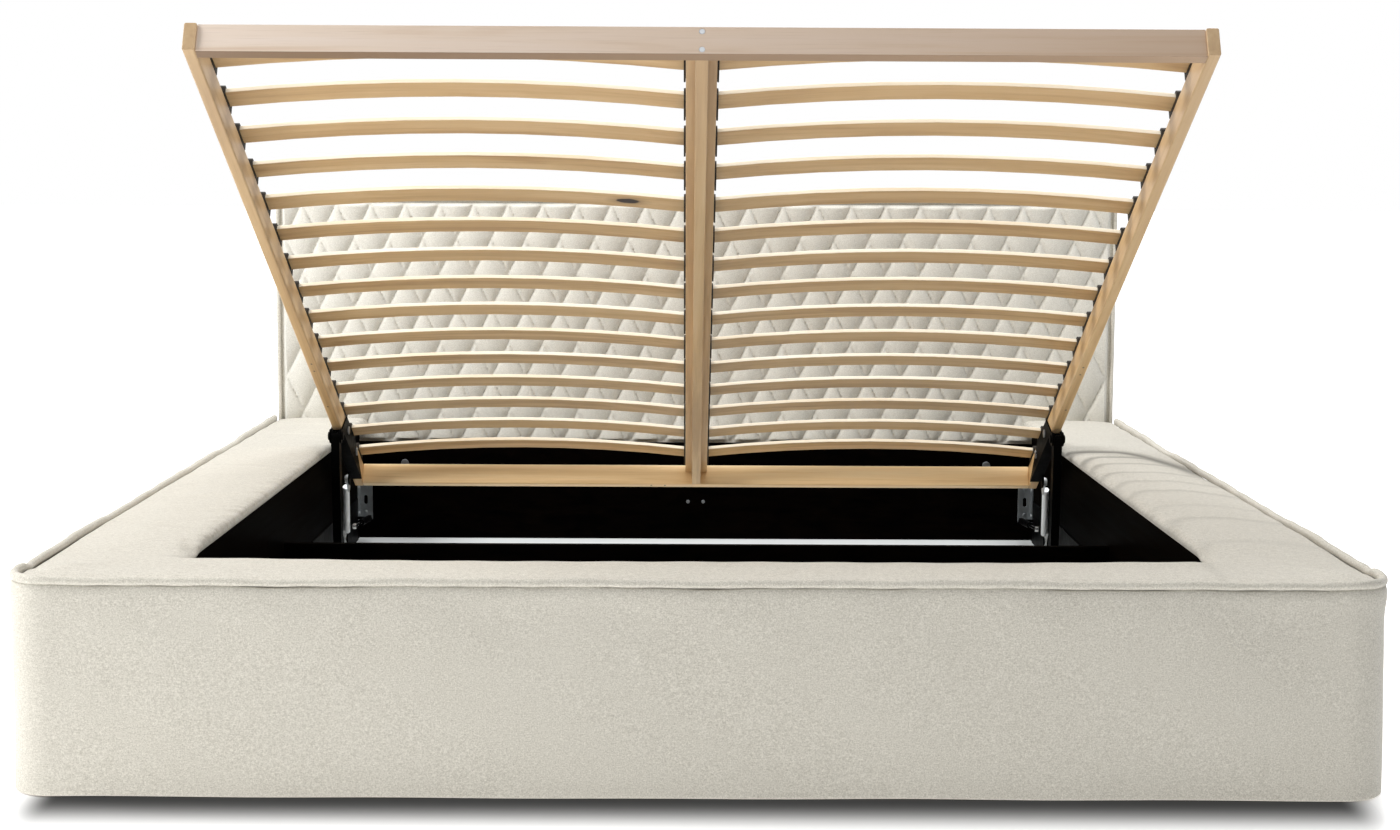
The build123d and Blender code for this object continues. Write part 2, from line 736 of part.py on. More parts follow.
def slats():
    """Rows of sprung slats, each bowed upwards between the beam and a side rail."""
    low = rail_height + slat_lift
    near = beam_width / 2 + cap_overhang - slat_seat
    far = rail_inner_x + slat_seat
    shares = [step / slat_segments for step in range(slat_segments + 1)]
    under = [(near + share * (far - near), low + 4 * slat_bow * share * (1 - share)) for share in shares]
    over = [(x, height + slat_thickness) for x, height in reversed(under)]
    for row in range(slat_rows):
        y, z = open_point(slat_edge(row), 0)
        with BuildPart() as slat:
            with BuildSketch(Plane(origin=(0, y, z), x_dir=(1, 0, 0), z_dir=(0, -cos(tilt), sin(tilt)))):
                Polygon(*under, *over, align=None)
            extrude(amount=slat_width)
        keep_both(slat, f"slat_row_{row + 1:02d}")


def slat_holders():
    """Plastic caps that hold the slat ends, on the rails and along the beam."""
    rise = 4 * slat_bow * slat_seat / (frame_half - beam_width / 2)
    pocket_height = slat_thickness + rise + cap_slack
    cap_height = slat_lift + pocket_height + cap_roof
    pocket_width = slat_width + 2 * cap_slack
    pocket_depth = slat_seat + cap_slack
    centres = [slat_edge(row) - slat_width / 2 for row in range(slat_rows)]

    def cap_bodies(start_x, end_x, low):
        with BuildSketch(frame_side_plane(start_x)) as profile:
            with Locations(*[(centre, (low + rail_height + cap_height) / 2) for centre in centres]):
                Rectangle(cap_length, rail_height + cap_height - low)
            chamfer(vertices().group_by(Axis.Y)[-1], cap_round)
        extrude(profile.sketch, amount=end_x - start_x)

    def pockets(mouth_x, depth):
        with BuildSketch(frame_plane.offset(rail_height + slat_lift)) as profile:
            with Locations(*[(mouth_x + depth / 2, centre) for centre in centres]):
                Rectangle(abs(depth), pocket_width)
        extrude(profile.sketch, amount=pocket_height, mode=Mode.SUBTRACT)

    with BuildPart() as side:
        cap_bodies(rail_inner_x, frame_half, rail_height)
        pockets(rail_inner_x, pocket_depth)
    keep_both(side, "slat_caps")
    outer_x = beam_width / 2 + cap_overhang
    with BuildPart() as middle:
        cap_bodies(-outer_x, outer_x, rail_height - cap_skirt)
        with BuildSketch(frame_plane.offset(rail_height - cap_skirt - cap_slack)):
            with Locations((0, frame_length / 2)):
                Rectangle(beam_width + 2 * cap_slack, frame_length)
        extrude(amount=cap_skirt + cap_slack, mode=Mode.SUBTRACT)
        pockets(outer_x, -pocket_depth)
        pockets(-outer_x, pocket_depth)
    keep(middle.part, "beam_caps")


# Lift linkage
def lug(pivot, radius, half_length, base_height):
    """Rounded lug between a pivot and a straight base, drawn in the open sketch."""
    lean = half_length - radius
    Polygon((pivot[0] - half_length, base_height), (pivot[0] + half_length, base_height),
            (pivot[0] + radius + lean / 4, (pivot[1] + base_height) / 2), (pivot[0] + radius, pivot[1]),
            (pivot[0] - radius, pivot[1]), (pivot[0] - radius - lean / 4, (pivot[1] + base_height) / 2),
            align=None)
    with Locations(pivot):
        RegularPolygon(radius, eye_sides)


def pin(x, length, point, radius, clearance, mode):
    """Pin across the bed at a point of the side view, or the bore for it."""
    with BuildSketch(Plane(origin=(x, 0, 0), x_dir=(0, 1, 0), z_dir=(1, 0, 0))) as profile:
        with Locations(point):
            Circle(radius + clearance)
    extrude(profile.sketch, amount=length, mode=mode)


def boss(x, length, point, radius, sides):
    """Many-sided boss across the bed at a point of the side view."""
    with BuildSketch(Plane(origin=(x, 0, 0), x_dir=(0, 1, 0), z_dir=(1, 0, 0))) as profile:
        with Locations(point):
            RegularPolygon(radius, sides)
    extrude(profile.sketch, amount=length)


def pin_head(x, point):
    """Flat head on a pin across the bed."""
    boss(x, pin_head_height, point, pin_head_radius, round_sides)


def frame_brackets():
    """Folded plates round the side rails, with the pins of the front arms."""
    inner_x = rail_inner_x - plate_thickness
    bracket_start = arm_station - lug_radius
    flange_start = arm_station + lug_radius
    full_start = flange_start + bracket_lead
    with BuildPart() as bracket:
        for x in (inner_x, frame_half):
            with BuildSketch(frame_side_plane(x)):
                Polygon((bracket_start, -arm_drop), (flange_start, -arm_drop),
                        (flange_start + arm_drop, -plate_thickness), (bracket_end, -plate_thickness),
                        (bracket_end, 0), (bracket_full_end, rail_height), (full_start, rail_height),
                        align=None)
                with Locations((arm_station, -arm_drop)):
                    RegularPolygon(lug_radius, eye_sides)
            extrude(amount=plate_thickness)
        with BuildSketch(frame_side_plane(frame_half)):
            lug((link_station, -link_drop), arm_depth / 2, bracket_end - link_station, 0)
        extrude(amount=plate_thickness)
        with BuildSketch(frame_plane.offset(-plate_thickness)):
            with Locations((rail_inner_x + rail_thickness / 2, (flange_start + bracket_end) / 2)):
                Rectangle(rail_thickness + 2 * plate_thickness, bracket_end - flange_start)
        extrude(amount=plate_thickness)
        carriage_bolt_shanks(inner_x - overrun, frame_half + overrun, bore_clearance, Mode.SUBTRACT)
        pin(inner_x - pin_head_height, rail_thickness + 2 * (plate_thickness + pin_head_height), arm_head,
            pin_radius, 0, Mode.ADD)
        for x in (inner_x - pin_head_height, frame_half + plate_thickness):
            pin_head(x, arm_head)
    keep_both(bracket, "frame_brackets")


def linkage_plane(x, start, end):
    """Side view at x with its own x axis along a link."""
    turn = atan2(end[1] - start[1], end[0] - start[0])
    return Plane(origin=(x, start[0], start[1]), x_dir=(0, cos(turn), sin(turn)), z_dir=(1, 0, 0))


def front_arms():
    """Channel arms that raise the frame; the closed side of the channel faces the foot."""
    start_x = frame_half - rail_thickness / 2 - arm_width / 2
    span = distance(arm_foot, arm_head)
    with BuildPart() as arm:
        with BuildSketch(linkage_plane(start_x, arm_foot, arm_head)):
            with Locations((span / 2, 0)):
                Rectangle(span, arm_depth)
            with Locations((0, 0), (span, 0)):
                RegularPolygon(arm_depth / 2, eye_sides)
        extrude(amount=arm_width)
        with BuildSketch(linkage_plane(start_x + arm_wall, arm_foot, arm_head)):
            with Locations((span / 2, -arm_wall)):
                Rectangle(span + 2 * arm_depth, arm_depth)
        extrude(amount=arm_width - 2 * arm_wall, mode=Mode.SUBTRACT)
        for point in (arm_foot, arm_head):
            pin(start_x - overrun, arm_width + 2 * overrun, point, pin_radius, pin_clearance, Mode.SUBTRACT)
    keep_both(arm, "front_arms")


link_head_x = frame_half + plate_thickness + plate_running_gap
link_tube_head_x = link_head_x + link_diameter / 2 + pin_clearance
link_tube_foot_x = link_tube_head_x + link_splay
link_foot_x = link_tube_foot_x + link_diameter / 2 - link_eye_thickness
base_plate_x = wall_x - plate_thickness
strut_x = wall_x - strut_inset


def rear_links():
    """Round links near the head end, with a flat eye at the foot and a headed pin at the top."""
    neck_share = link_neck / link_length
    tube_foot = along(link_foot, link_head, neck_share)
    tube_head = along(link_head, link_foot, neck_share)
    with BuildPart() as link:
        start = Vector(link_tube_foot_x, *tube_foot)
        end = Vector(link_tube_head_x, *tube_head)
        with BuildSketch(Plane(origin=start, z_dir=end - start)):
            Circle(link_diameter / 2)
        extrude(amount=(end - start).length)
        for x, eye, tube in ((link_foot_x, link_foot, tube_foot), (link_head_x, link_head, tube_head)):
            with BuildSketch(linkage_plane(x, eye, tube)):
                RegularPolygon(link_eye_radius, eye_sides)
                with Locations((link_neck * 2 / 3, 0)):
                    Rectangle(link_neck * 4 / 3, link_diameter)
            extrude(amount=link_eye_thickness)
        pin_head(link_head_x + link_eye_thickness, link_head)
        pin(link_foot_x - overrun, link_eye_thickness + 2 * overrun, link_foot, pin_radius, pin_clearance,
            Mode.SUBTRACT)
    keep_both(link, "rear_links")


def lift_bases():
    """Base plates on the black side boards, with the lower pins of arms, links and gas struts."""
    inner_x = rail_inner_x - plate_thickness
    base_start = arm_foot[0] - base_plate_foot_margin
    base_end = strut_foot[0] + base_plate_head_margin
    with BuildPart() as base:
        block((base_plate_x, wall_x), (base_start, base_end), (floor_top, floor_top + base_plate_height))
        block((inner_x, base_plate_x), (arm_foot[0] - cheek_half_length, arm_foot[0] + cheek_half_length),
              (floor_top, floor_top + plate_thickness))
        for x in (inner_x, frame_half):
            with BuildSketch(Plane(origin=(x, 0, 0), x_dir=(0, 1, 0), z_dir=(1, 0, 0))):
                lug(arm_foot, lug_radius, cheek_half_length, floor_top + plate_thickness)
            extrude(amount=plate_thickness)
        pin(inner_x - pin_head_height, rail_thickness + 2 * (plate_thickness + pin_head_height), arm_foot,
            pin_radius, 0, Mode.ADD)
        for x in (inner_x - pin_head_height, frame_half + plate_thickness):
            pin_head(x, arm_foot)
        head_x = link_foot_x - plate_running_gap - pin_head_height
        collar_x = link_foot_x + link_eye_thickness + plate_running_gap
        pin(head_x, base_plate_x - head_x, link_foot, pin_radius, 0, Mode.ADD)
        pin_head(head_x, link_foot)
        boss(collar_x, base_plate_x - collar_x, link_foot, pin_head_radius, round_sides)
        stud_x = strut_x - socket_width / 2
        pin(stud_x, base_plate_x - stud_x, strut_foot, stud_radius, 0, Mode.ADD)
    keep_both(base, "lift_bases")


def gas_struts():
    """Gas struts that hold the frame open, beside the rear links."""
    span = distance(strut_foot, strut_head)
    socket_x = strut_x - socket_width / 2
    across = Plane(origin=linkage_plane(strut_x, strut_foot, strut_head).origin,
                   z_dir=linkage_plane(strut_x, strut_foot, strut_head).x_dir)
    with BuildPart() as cylinder:
        with BuildSketch(across.offset(cylinder_eye_reach)):
            Circle(cylinder_diameter / 2)
        extrude(amount=cylinder_length)
        with BuildSketch(across):
            RegularPolygon(socket_radius / 2, small_round_sides)
        extrude(amount=cylinder_eye_reach)
        boss(socket_x, socket_width, strut_foot, socket_radius, eye_sides)
        pin(socket_x - overrun, socket_width + 2 * overrun, strut_foot, stud_radius, pin_clearance,
            Mode.SUBTRACT)
        with BuildSketch(across.offset(cylinder_eye_reach + cylinder_floor)):
            Circle(rod_diameter / 2 + pin_clearance)
        extrude(amount=cylinder_length, mode=Mode.SUBTRACT)
    keep_both(cylinder, "strut_cylinders")
    with BuildPart() as rod:
        with BuildSketch(across.offset(span - rod_reach)):
            Circle(rod_diameter / 2)
        extrude(amount=rod_reach)
        boss(socket_x, socket_width, strut_head, socket_radius, eye_sides)
    keep_both(rod, "strut_rods")


inner_boards()
outer_boards()
ledge_boards()
ledge_pads()
covers()
storage_floor()
headboard()
box_fasteners()
frame_rails()
frame_hardware()
slats()
slat_holders()
frame_brackets()
front_arms()
rear_links()
lift_bases()
gas_struts()
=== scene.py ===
"""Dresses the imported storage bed: cover, quilting, wood, steel, light and camera."""
import json
import math

import bpy
import numpy as np
from mathutils import Matrix, Vector


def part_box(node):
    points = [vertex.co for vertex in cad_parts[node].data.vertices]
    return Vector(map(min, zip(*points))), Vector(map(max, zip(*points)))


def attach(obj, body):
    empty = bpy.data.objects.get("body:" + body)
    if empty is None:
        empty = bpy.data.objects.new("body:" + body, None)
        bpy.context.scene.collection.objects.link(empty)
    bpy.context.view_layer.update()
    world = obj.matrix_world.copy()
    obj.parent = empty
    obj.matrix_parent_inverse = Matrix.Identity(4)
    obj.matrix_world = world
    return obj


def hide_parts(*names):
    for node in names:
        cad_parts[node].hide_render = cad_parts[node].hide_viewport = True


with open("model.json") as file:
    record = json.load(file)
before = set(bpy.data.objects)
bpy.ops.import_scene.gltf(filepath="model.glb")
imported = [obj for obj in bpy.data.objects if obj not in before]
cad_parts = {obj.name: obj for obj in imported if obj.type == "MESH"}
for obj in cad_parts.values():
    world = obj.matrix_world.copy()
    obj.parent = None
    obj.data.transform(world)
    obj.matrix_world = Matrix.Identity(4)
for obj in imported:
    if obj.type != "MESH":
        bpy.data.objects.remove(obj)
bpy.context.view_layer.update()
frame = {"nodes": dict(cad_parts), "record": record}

# The raised slat frame: its angle, the spacing of its slats and the place of its foot end. In this script a
# station on the frame is the distance from its foot end.
TILT = math.radians(27.5)
SLAT_SPACING = 0.127
FOOT_END_Y, FOOT_END_Z = -1.035, 1.133
FRAME_START = FOOT_END_Y * math.cos(TILT) - FOOT_END_Z * math.sin(TILT)


# Materials
class Signal:
    """Output of a node in a finish, with arithmetic."""

    def __init__(self, finish, socket):
        self.finish = finish
        self.socket = socket

    def maths(self, operation, *values):
        inputs = dict(enumerate(values))
        return self.finish.node("ShaderNodeMath", {"operation": operation}, inputs)

    def __add__(self, other):
        return self.maths("ADD", self, other)

    def __radd__(self, other):
        return self.maths("ADD", other, self)

    def __sub__(self, other):
        return self.maths("SUBTRACT", self, other)

    def __rsub__(self, other):
        return self.maths("SUBTRACT", other, self)

    def __mul__(self, other):
        return self.maths("MULTIPLY", self, other)

    def __rmul__(self, other):
        return self.maths("MULTIPLY", other, self)

    def __truediv__(self, other):
        return self.maths("DIVIDE", self, other)

    def __pow__(self, other):
        return self.maths("POWER", self, other)

    def __abs__(self):
        return self.maths("ABSOLUTE", self)

    def at_least(self, low):
        return self.maths("MAXIMUM", self, low)

    def clipped(self):
        """The value held between 0 and 1."""
        return self.maths("MINIMUM", self, 1.0).at_least(0.0)


class Finish:
    """Material built from a Principled shader; constants go straight on its sockets."""

    def __init__(self, name, **constants):
        self.material = bpy.data.materials.new(name)
        self.material.use_nodes = True
        self.tree = self.material.node_tree
        self.shader = self.tree.nodes["Principled BSDF"]
        self.set(**constants)

    def set(self, **values):
        """Values or signals for the shader's sockets, named with underscores for spaces."""
        for label, value in values.items():
            self.feed(self.shader.inputs[label.replace("_", " ")], value)

    def feed(self, socket, value):
        if isinstance(value, Signal):
            self.tree.links.new(value.socket, socket)
        else:
            socket.default_value = value

    def node(self, kind, settings=None, inputs=None, output=0):
        """Any node, from its type, its settings and what its sockets are given."""
        made = self.tree.nodes.new(kind)
        for key, value in (settings or {}).items():
            if key == "stops":
                ramp = made.color_ramp
                while len(ramp.elements) < len(value):
                    ramp.elements.new(0.5)
                for element, (place, colour) in zip(ramp.elements, value):
                    element.position = place
                    element.color = (*colour, 1.0)
            else:
                setattr(made, key, value)
        for key, value in (inputs or {}).items():
            self.feed(made.inputs[key], value)
        return Signal(self, made.outputs[output])

    def place(self, turn=0.0, scale=(1.0, 1.0, 1.0)):
        """Object coordinates, turned about X and scaled."""
        source = self.node("ShaderNodeTexCoord", output="Object")
        turned = self.node("ShaderNodeMapping", {}, {"Vector": source, "Rotation": (turn, 0.0, 0.0)})
        return self.node("ShaderNodeVectorMath", {"operation": "MULTIPLY"}, {0: turned, 1: scale})

    def noise(self, place, scale=1.0, detail=3.0, roughness=0.5, distortion=0.0):
        return self.node("ShaderNodeTexNoise", {}, {"Vector": place, "Scale": scale, "Detail": detail,
                                                    "Roughness": roughness, "Distortion": distortion})

    def axis(self, place, name):
        return self.node("ShaderNodeSeparateXYZ", {}, {"Vector": place}, output=name)

    def ramp(self, factor, *stops):
        return self.node("ShaderNodeValToRGB", {"stops": stops}, {"Fac": factor})

    def blend(self, factor, first, second):
        first, second = [value if isinstance(value, Signal) else (*value, 1.0) for value in (first, second)]
        return self.node("ShaderNodeMix", {"data_type": "RGBA"}, {0: factor, 6: first, 7: second}, output=2)

    def bump(self, height, strength, distance):
        return self.node("ShaderNodeBump", {}, {"Height": height, "Strength": strength, "Distance": distance})


def tone(red, green, blue):
    """Linear colour from display values."""
    return tuple((value / 255) ** 2.2 for value in (red, green, blue))


def dimmed(colour, share):
    """A colour brought down to a share of its light."""
    return tuple(value * share for value in colour)


def drawn_out(along, length, across):
    """Scales that draw a pattern out along one axis."""
    return tuple(length if axis == along else across for axis in "XYZ")


def chenille(name, light, shade, pile=470.0, depth=0.001):
    """Off-white chenille: short pile in soft clumps over a faint square weave, darkened by painted shade
    where the points carry a share of it.
    """
    cloth = Finish(name, Roughness=0.95, Sheen_Weight=0.25, Sheen_Roughness=0.5)
    place = cloth.place()
    clumps = cloth.noise(place, pile, detail=4.0, roughness=0.62, distortion=0.4)
    fibres = cloth.noise(place, pile * 4, detail=2.0, roughness=0.6)
    threads = cloth.noise(cloth.place(scale=(pile * 0.25, pile * 0.25, pile * 1.6)), detail=2.0)
    cloudy = cloth.noise(place, 7.0, roughness=0.6)
    height = clumps * 0.62 + fibres * 0.2 + threads * 0.18
    raised = ((height - 0.36) / 0.28).clipped()
    colour = cloth.blend(raised, shade, light)
    colour = cloth.blend(((cloudy - 0.3) * 0.35).clipped(), colour, dimmed(light, 0.9))
    # Painted shade: the folds' and gathers' shading, darkened into the colour from a share stored on the
    # points.
    painted_shade = cloth.node("ShaderNodeAttribute", {"attribute_name": "press"}, output="Fac")
    colour = cloth.blend(painted_shade, colour, dimmed(shade, 0.45))
    cloth.set(Base_Color=colour, Normal=cloth.bump(height, 0.55, depth))
    return cloth


GREYED_WOOD = tone(152, 132, 110)
UNDERSIDE = tone(118, 94, 72)
UNDERSIDE_DEPTH = 0.0006
FADE_LENGTH = 1.15
FRAME_WIDTH = 1.6
KNOT_HEART = (0.022, 0.009, 0.004)
NAIL_HEAD = (0.03, 0.018, 0.01)
NAIL_RADIUS = 0.0026


def knotted(wood, colour, deep, knot, side, station):
    """Colour with a dark knot and the browned wood round it."""
    knot_x, knot_station, half_length, half_width = knot
    across = (side - knot_x) / half_length
    ahead = (station - knot_station) / half_width
    wobble = wood.noise(wood.place(TILT), 60.0) - 0.5
    reach = (across * across + ahead * ahead) ** 0.5 + wobble * 0.5
    colour = wood.blend((2.2 - reach).clipped() * 0.45, colour, dimmed(deep, 0.55))
    return wood.blend(((1.15 - reach) * 4.0).clipped(), colour, KNOT_HEART)


def nailed(wood, colour, marks, side, station):
    """Colour with small dark nail heads; a mark to the right of the middle is also on the left."""
    for mark_x, mark_station in marks:
        across = side - mark_x if mark_x < 0 else abs(side) - mark_x
        ahead = station - mark_station
        reach = (across * across + ahead * ahead * 0.6) ** 0.5
        colour = wood.blend(((NAIL_RADIUS - reach) * 900.0).clipped(), colour, NAIL_HEAD)
    return colour


def timber(name, pale, mid, deep, along="X", figure=1.0, rows=0.0, fade=0.0, low=None, drift=0.0, knot=None,
           marks=()):
    """Lacquered wood with its grain along the frame's X axis or its length.

    figure bends the grain, rows sets the slats apart in tone, fade greys the foot end, low is the level of a
    shaded underside, and drift darkens the right-hand end: partly the wood's own browner tone, partly painted
    shade away from the light on the left.
    """
    wood = Finish(name, Coat_Weight=0.12, Coat_Roughness=0.3)
    place = wood.place(TILT)
    station = wood.axis(place, "Y") - FRAME_START
    side = wood.axis(place, "X")
    flame = wood.noise(wood.place(TILT, drawn_out(along, 0.4, 10.5)), detail=2.0, distortion=2.5)
    bands = wood.noise(wood.place(TILT, drawn_out(along, 1.6, 42.0)), detail=5.0, roughness=0.55,
                       distortion=1.1 * figure)
    streaks = wood.noise(wood.place(TILT, drawn_out(along, 9.0, 620.0)), roughness=0.6)
    grain = bands * 0.6 + flame * 0.4
    if rows:
        row = wood.node("ShaderNodeMath", {"operation": "FLOOR"}, {0: station / SLAT_SPACING})
        hand = wood.node("ShaderNodeMath", {"operation": "SIGN"}, {0: side})
        each = wood.node("ShaderNodeCombineXYZ", {}, {0: row, 1: hand})
        chance = wood.node("ShaderNodeTexWhiteNoise", {"noise_dimensions": "2D"}, {"Vector": each})
        grain = grain + (chance - 0.5) * rows
    colour = wood.ramp(grain, (0.30, deep), (0.5, mid), (0.72, pale))
    colour = wood.blend(((streaks - 0.56) * 3.0).clipped() * 0.5, colour, dimmed(deep, 0.66))
    if fade:
        colour = wood.blend((FADE_LENGTH - station).clipped() * fade, colour, GREYED_WOOD)
    if low is not None:
        under = ((low + UNDERSIDE_DEPTH - wood.axis(place, "Z")) * 3000.0).clipped()
        colour = wood.blend(under, colour, UNDERSIDE)
    # Darker towards the right: partly the wood's own browner tone, partly painted shade away from the light
    # on the left.
    if drift:
        share = (side / FRAME_WIDTH + 0.5).clipped()
        colour = wood.blend(share * drift, colour, dimmed(deep, 0.8))
    if knot:
        colour = knotted(wood, colour, deep, knot, side, station)
    colour = nailed(wood, colour, marks, side, station)
    height = streaks * 0.6 + bands * 0.4
    wood.set(Base_Color=colour, Roughness=0.36 + streaks * 0.2, Normal=wood.bump(height, 0.25, 0.0004))
    return wood


def black_foil(name):
    """Black foil on board, with a faint brown wood figure."""
    foil = Finish(name, Specular_IOR_Level=0.004)
    grain = foil.noise(foil.place(scale=(14.0, 2.2, 46.0)), detail=5.0, roughness=0.6, distortion=0.6)
    specks = foil.noise(foil.place(), 420.0, detail=2.0)
    colour = foil.ramp(grain, (0.35, (0.0003, 0.0003, 0.0003)), (0.78, (0.0024, 0.0014, 0.0009)))
    foil.set(Base_Color=colour, Roughness=0.42 + grain * 0.22, Normal=foil.bump(specks, 0.12, 0.0003))
    return foil


def plain_board(name, light, dark, size):
    """Board with a fine speckle, for the floor panels and the parts that the cover hides."""
    board = Finish(name)
    specks = board.noise(board.place(), size, detail=5.0, roughness=0.65)
    cloud = board.noise(board.place(), 5.0)
    board.set(Base_Color=board.blend((specks * 0.7 + cloud * 0.3 - 0.2).clipped(), dark, light),
              Roughness=0.55 + specks * 0.2, Normal=board.bump(specks, 0.15, 0.0003))
    return board


def metal(name, colour, dull, roughness, metallic=1.0, blotch=0.3, depth=0.0001):
    """Metal whose plating or paint varies a little over the surface."""
    plate = Finish(name, Metallic=metallic)
    cloud = plate.noise(plate.place(), 45.0, detail=4.0, roughness=0.6)
    scratch = plate.noise(plate.place(scale=(900.0, 60.0, 900.0)), detail=2.0)
    plate.set(Base_Color=plate.blend((cloud * blotch * 2 - 0.1).clipped(), colour, dull),
              Roughness=(cloud - 0.5) * 0.25 + scratch * 0.08 + roughness,
              Normal=plate.bump(scratch, 0.15, depth))
    return plate


def moulded(name, colour, dusty):
    """Matte moulded plastic."""
    plastic = Finish(name, Specular_IOR_Level=0.15)
    grit = plastic.noise(plastic.place(), 700.0)
    cloud = plastic.noise(plastic.place(), 30.0)
    plastic.set(Base_Color=plastic.blend((cloud * 0.8 - 0.1).clipped(), colour, dusty),
                Roughness=0.45 + grit * 0.2, Normal=plastic.bump(grit, 0.2, 0.0002))
    return plastic


def lowest(node):
    """Lowest level of a CAD node across the raised frame's own plane."""
    source = frame["nodes"][node].data.vertices
    return min(spot.co.y * math.sin(TILT) + spot.co.z * math.cos(TILT) for spot in source)


# The fifth slat's knot: its place across the frame, its station, and its half length and half width.
KNOT = (-0.1295, 0.632, 0.021, 0.0085)
# Nail marks, each by its place across the frame and its station.
RAIL_MARKS = ((0.790, 1.243), (0.790, 1.281), (0.791, 1.479))
HEAD_MARKS = ((-0.105, 1.968), (-0.073, 1.968))

COVER = chenille("chenille_cover", tone(225, 221, 210), tone(168, 163, 151))
QUILT = chenille("chenille_quilt", tone(228, 226, 218), tone(190, 187, 177), pile=520.0, depth=0.0007)
SLAT = timber("slat_birch", tone(218, 184, 136), tone(202, 165, 114), tone(172, 132, 84),
              figure=1.3, rows=0.16, fade=0.3, knot=KNOT)
# Painted highlight: a pale copy of the slats' birch for their narrow edges, which the light catches on the
# foot side.
SLAT_HIGHLIGHT = timber("slat_birch_edge", tone(252, 243, 226), tone(246, 232, 208), tone(230, 208, 174),
                   figure=0.3)
RAIL = timber("rail_birch", tone(228, 196, 148), tone(210, 172, 120), tone(176, 136, 88),
              along="Y", fade=0.55, marks=RAIL_MARKS)
CROSS = timber("cross_birch", tone(255, 230, 186), tone(250, 214, 160), tone(222, 180, 124),
               figure=0.6, drift=0.1, marks=HEAD_MARKS)
FRONT_RAIL = timber("front_birch", tone(223, 209, 198), tone(218, 200, 183), tone(187, 158, 131),
                    figure=0.7, low=lowest("foot_rail"), drift=0.8)
BLACK_BOARD = black_foil("black_foil")
FLOOR_BOARD = plain_board("grey_floor", tone(236, 240, 240), tone(214, 218, 219), 300.0)
RAW_BOARD = plain_board("raw_board", tone(206, 172, 126), tone(160, 124, 82), 240.0)
ZINC = metal("zinc", (0.60, 0.62, 0.65), (0.32, 0.34, 0.36), 0.26)
DULL_ZINC = metal("dull_zinc", (0.20, 0.21, 0.22), (0.09, 0.095, 0.10), 0.36)
WORN_ZINC = metal("worn_zinc", (0.36, 0.38, 0.39), (0.15, 0.16, 0.17), 0.3)
BRIGHT_ZINC = metal("bright_zinc", (0.86, 0.88, 0.90), (0.76, 0.78, 0.80), 0.3, metallic=0.45, blotch=0.15,
                    depth=0.00002)
CHROME = metal("chrome", (0.86, 0.87, 0.88), (0.76, 0.77, 0.79), 0.1, blotch=0.2, depth=0.00003)
BLACK_STEEL = metal("black_steel", (0.0006, 0.0006, 0.0006), (0.0018, 0.0018, 0.0018), 0.42, metallic=0.0)
BLACK_STEEL.set(Specular_IOR_Level=0.02)
CAP = moulded("cap_plastic", (0.012, 0.009, 0.006), (0.026, 0.019, 0.013))


# Modelling helpers. Points nearer than a weld's distance are merged. Faces within FLAT_ANGLE degrees are
# joined, edges sharper than EDGE_ANGLE are softened, and shading is smooth up to SMOOTH_ANGLE.
SURFACE_WELD, CAD_WELD = 0.00002, 0.00001
FLAT_ANGLE, EDGE_ANGLE, SMOOTH_ANGLE = 0.2, 32, 40


def only(piece):
    """Select one object and make it active."""
    bpy.ops.object.select_all(action="DESELECT")
    piece.select_set(True)
    bpy.context.view_layer.objects.active = piece


def edit(piece, *steps):
    """Run edit-mode steps on the whole of a piece."""
    only(piece)
    bpy.ops.object.mode_set(mode="EDIT")
    bpy.ops.mesh.select_all(action="SELECT")
    for step in steps:
        step()
    bpy.ops.object.mode_set(mode="OBJECT")


def smooth_up_to(degrees):
    """Smooth shading of the active piece up to an angle between faces."""
    bpy.ops.object.shade_smooth_by_angle(angle=math.radians(degrees))


def dressed(piece, finish, body, slot, *nodes):
    """Give a finished piece its material and its body, and hide the nodes that it stands for."""
    piece.data.materials.clear()
    piece.data.materials.append(finish.material)
    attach(piece, body)
    if nodes:
        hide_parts(*nodes)


def points(piece):
    """Places of a piece's points."""
    flat = np.empty(len(piece.data.vertices) * 3)
    piece.data.vertices.foreach_get("co", flat)
    return flat.reshape(-1, 3)


def put(piece, places):
    """Move a piece's points to new places."""
    piece.data.vertices.foreach_set("co", places.ravel())
    piece.data.update()


def grid(across, around):
    """Flat grid, with the shares of its points across and around."""
    bpy.ops.object.select_all(action="DESELECT")
    bpy.ops.mesh.primitive_grid_add(x_subdivisions=across, y_subdivisions=around, size=2)
    piece = bpy.context.object
    u, v, _ = ((points(piece) + 1) / 2).T
    return piece, u, v


def line(share, count):
    """Number of the grid line at a share of the way."""
    return np.rint(share * count).astype(int)


def surface(name, across, around, place, weld=True):
    """Grid whose points a function places by their shares across and around."""
    piece, u, v = grid(across, around)
    piece.name = name
    put(piece, place(u, v))
    steps = [lambda: bpy.ops.mesh.remove_doubles(threshold=SURFACE_WELD)] if weld else []
    edit(piece, *steps, lambda: bpy.ops.mesh.normals_make_consistent(inside=False))
    only(piece)
    bpy.ops.object.shade_smooth()
    return piece


SWELL_PRESSURE = 4.0
SWELL_FRAMES = 20
NO_MOVE = 1e-9


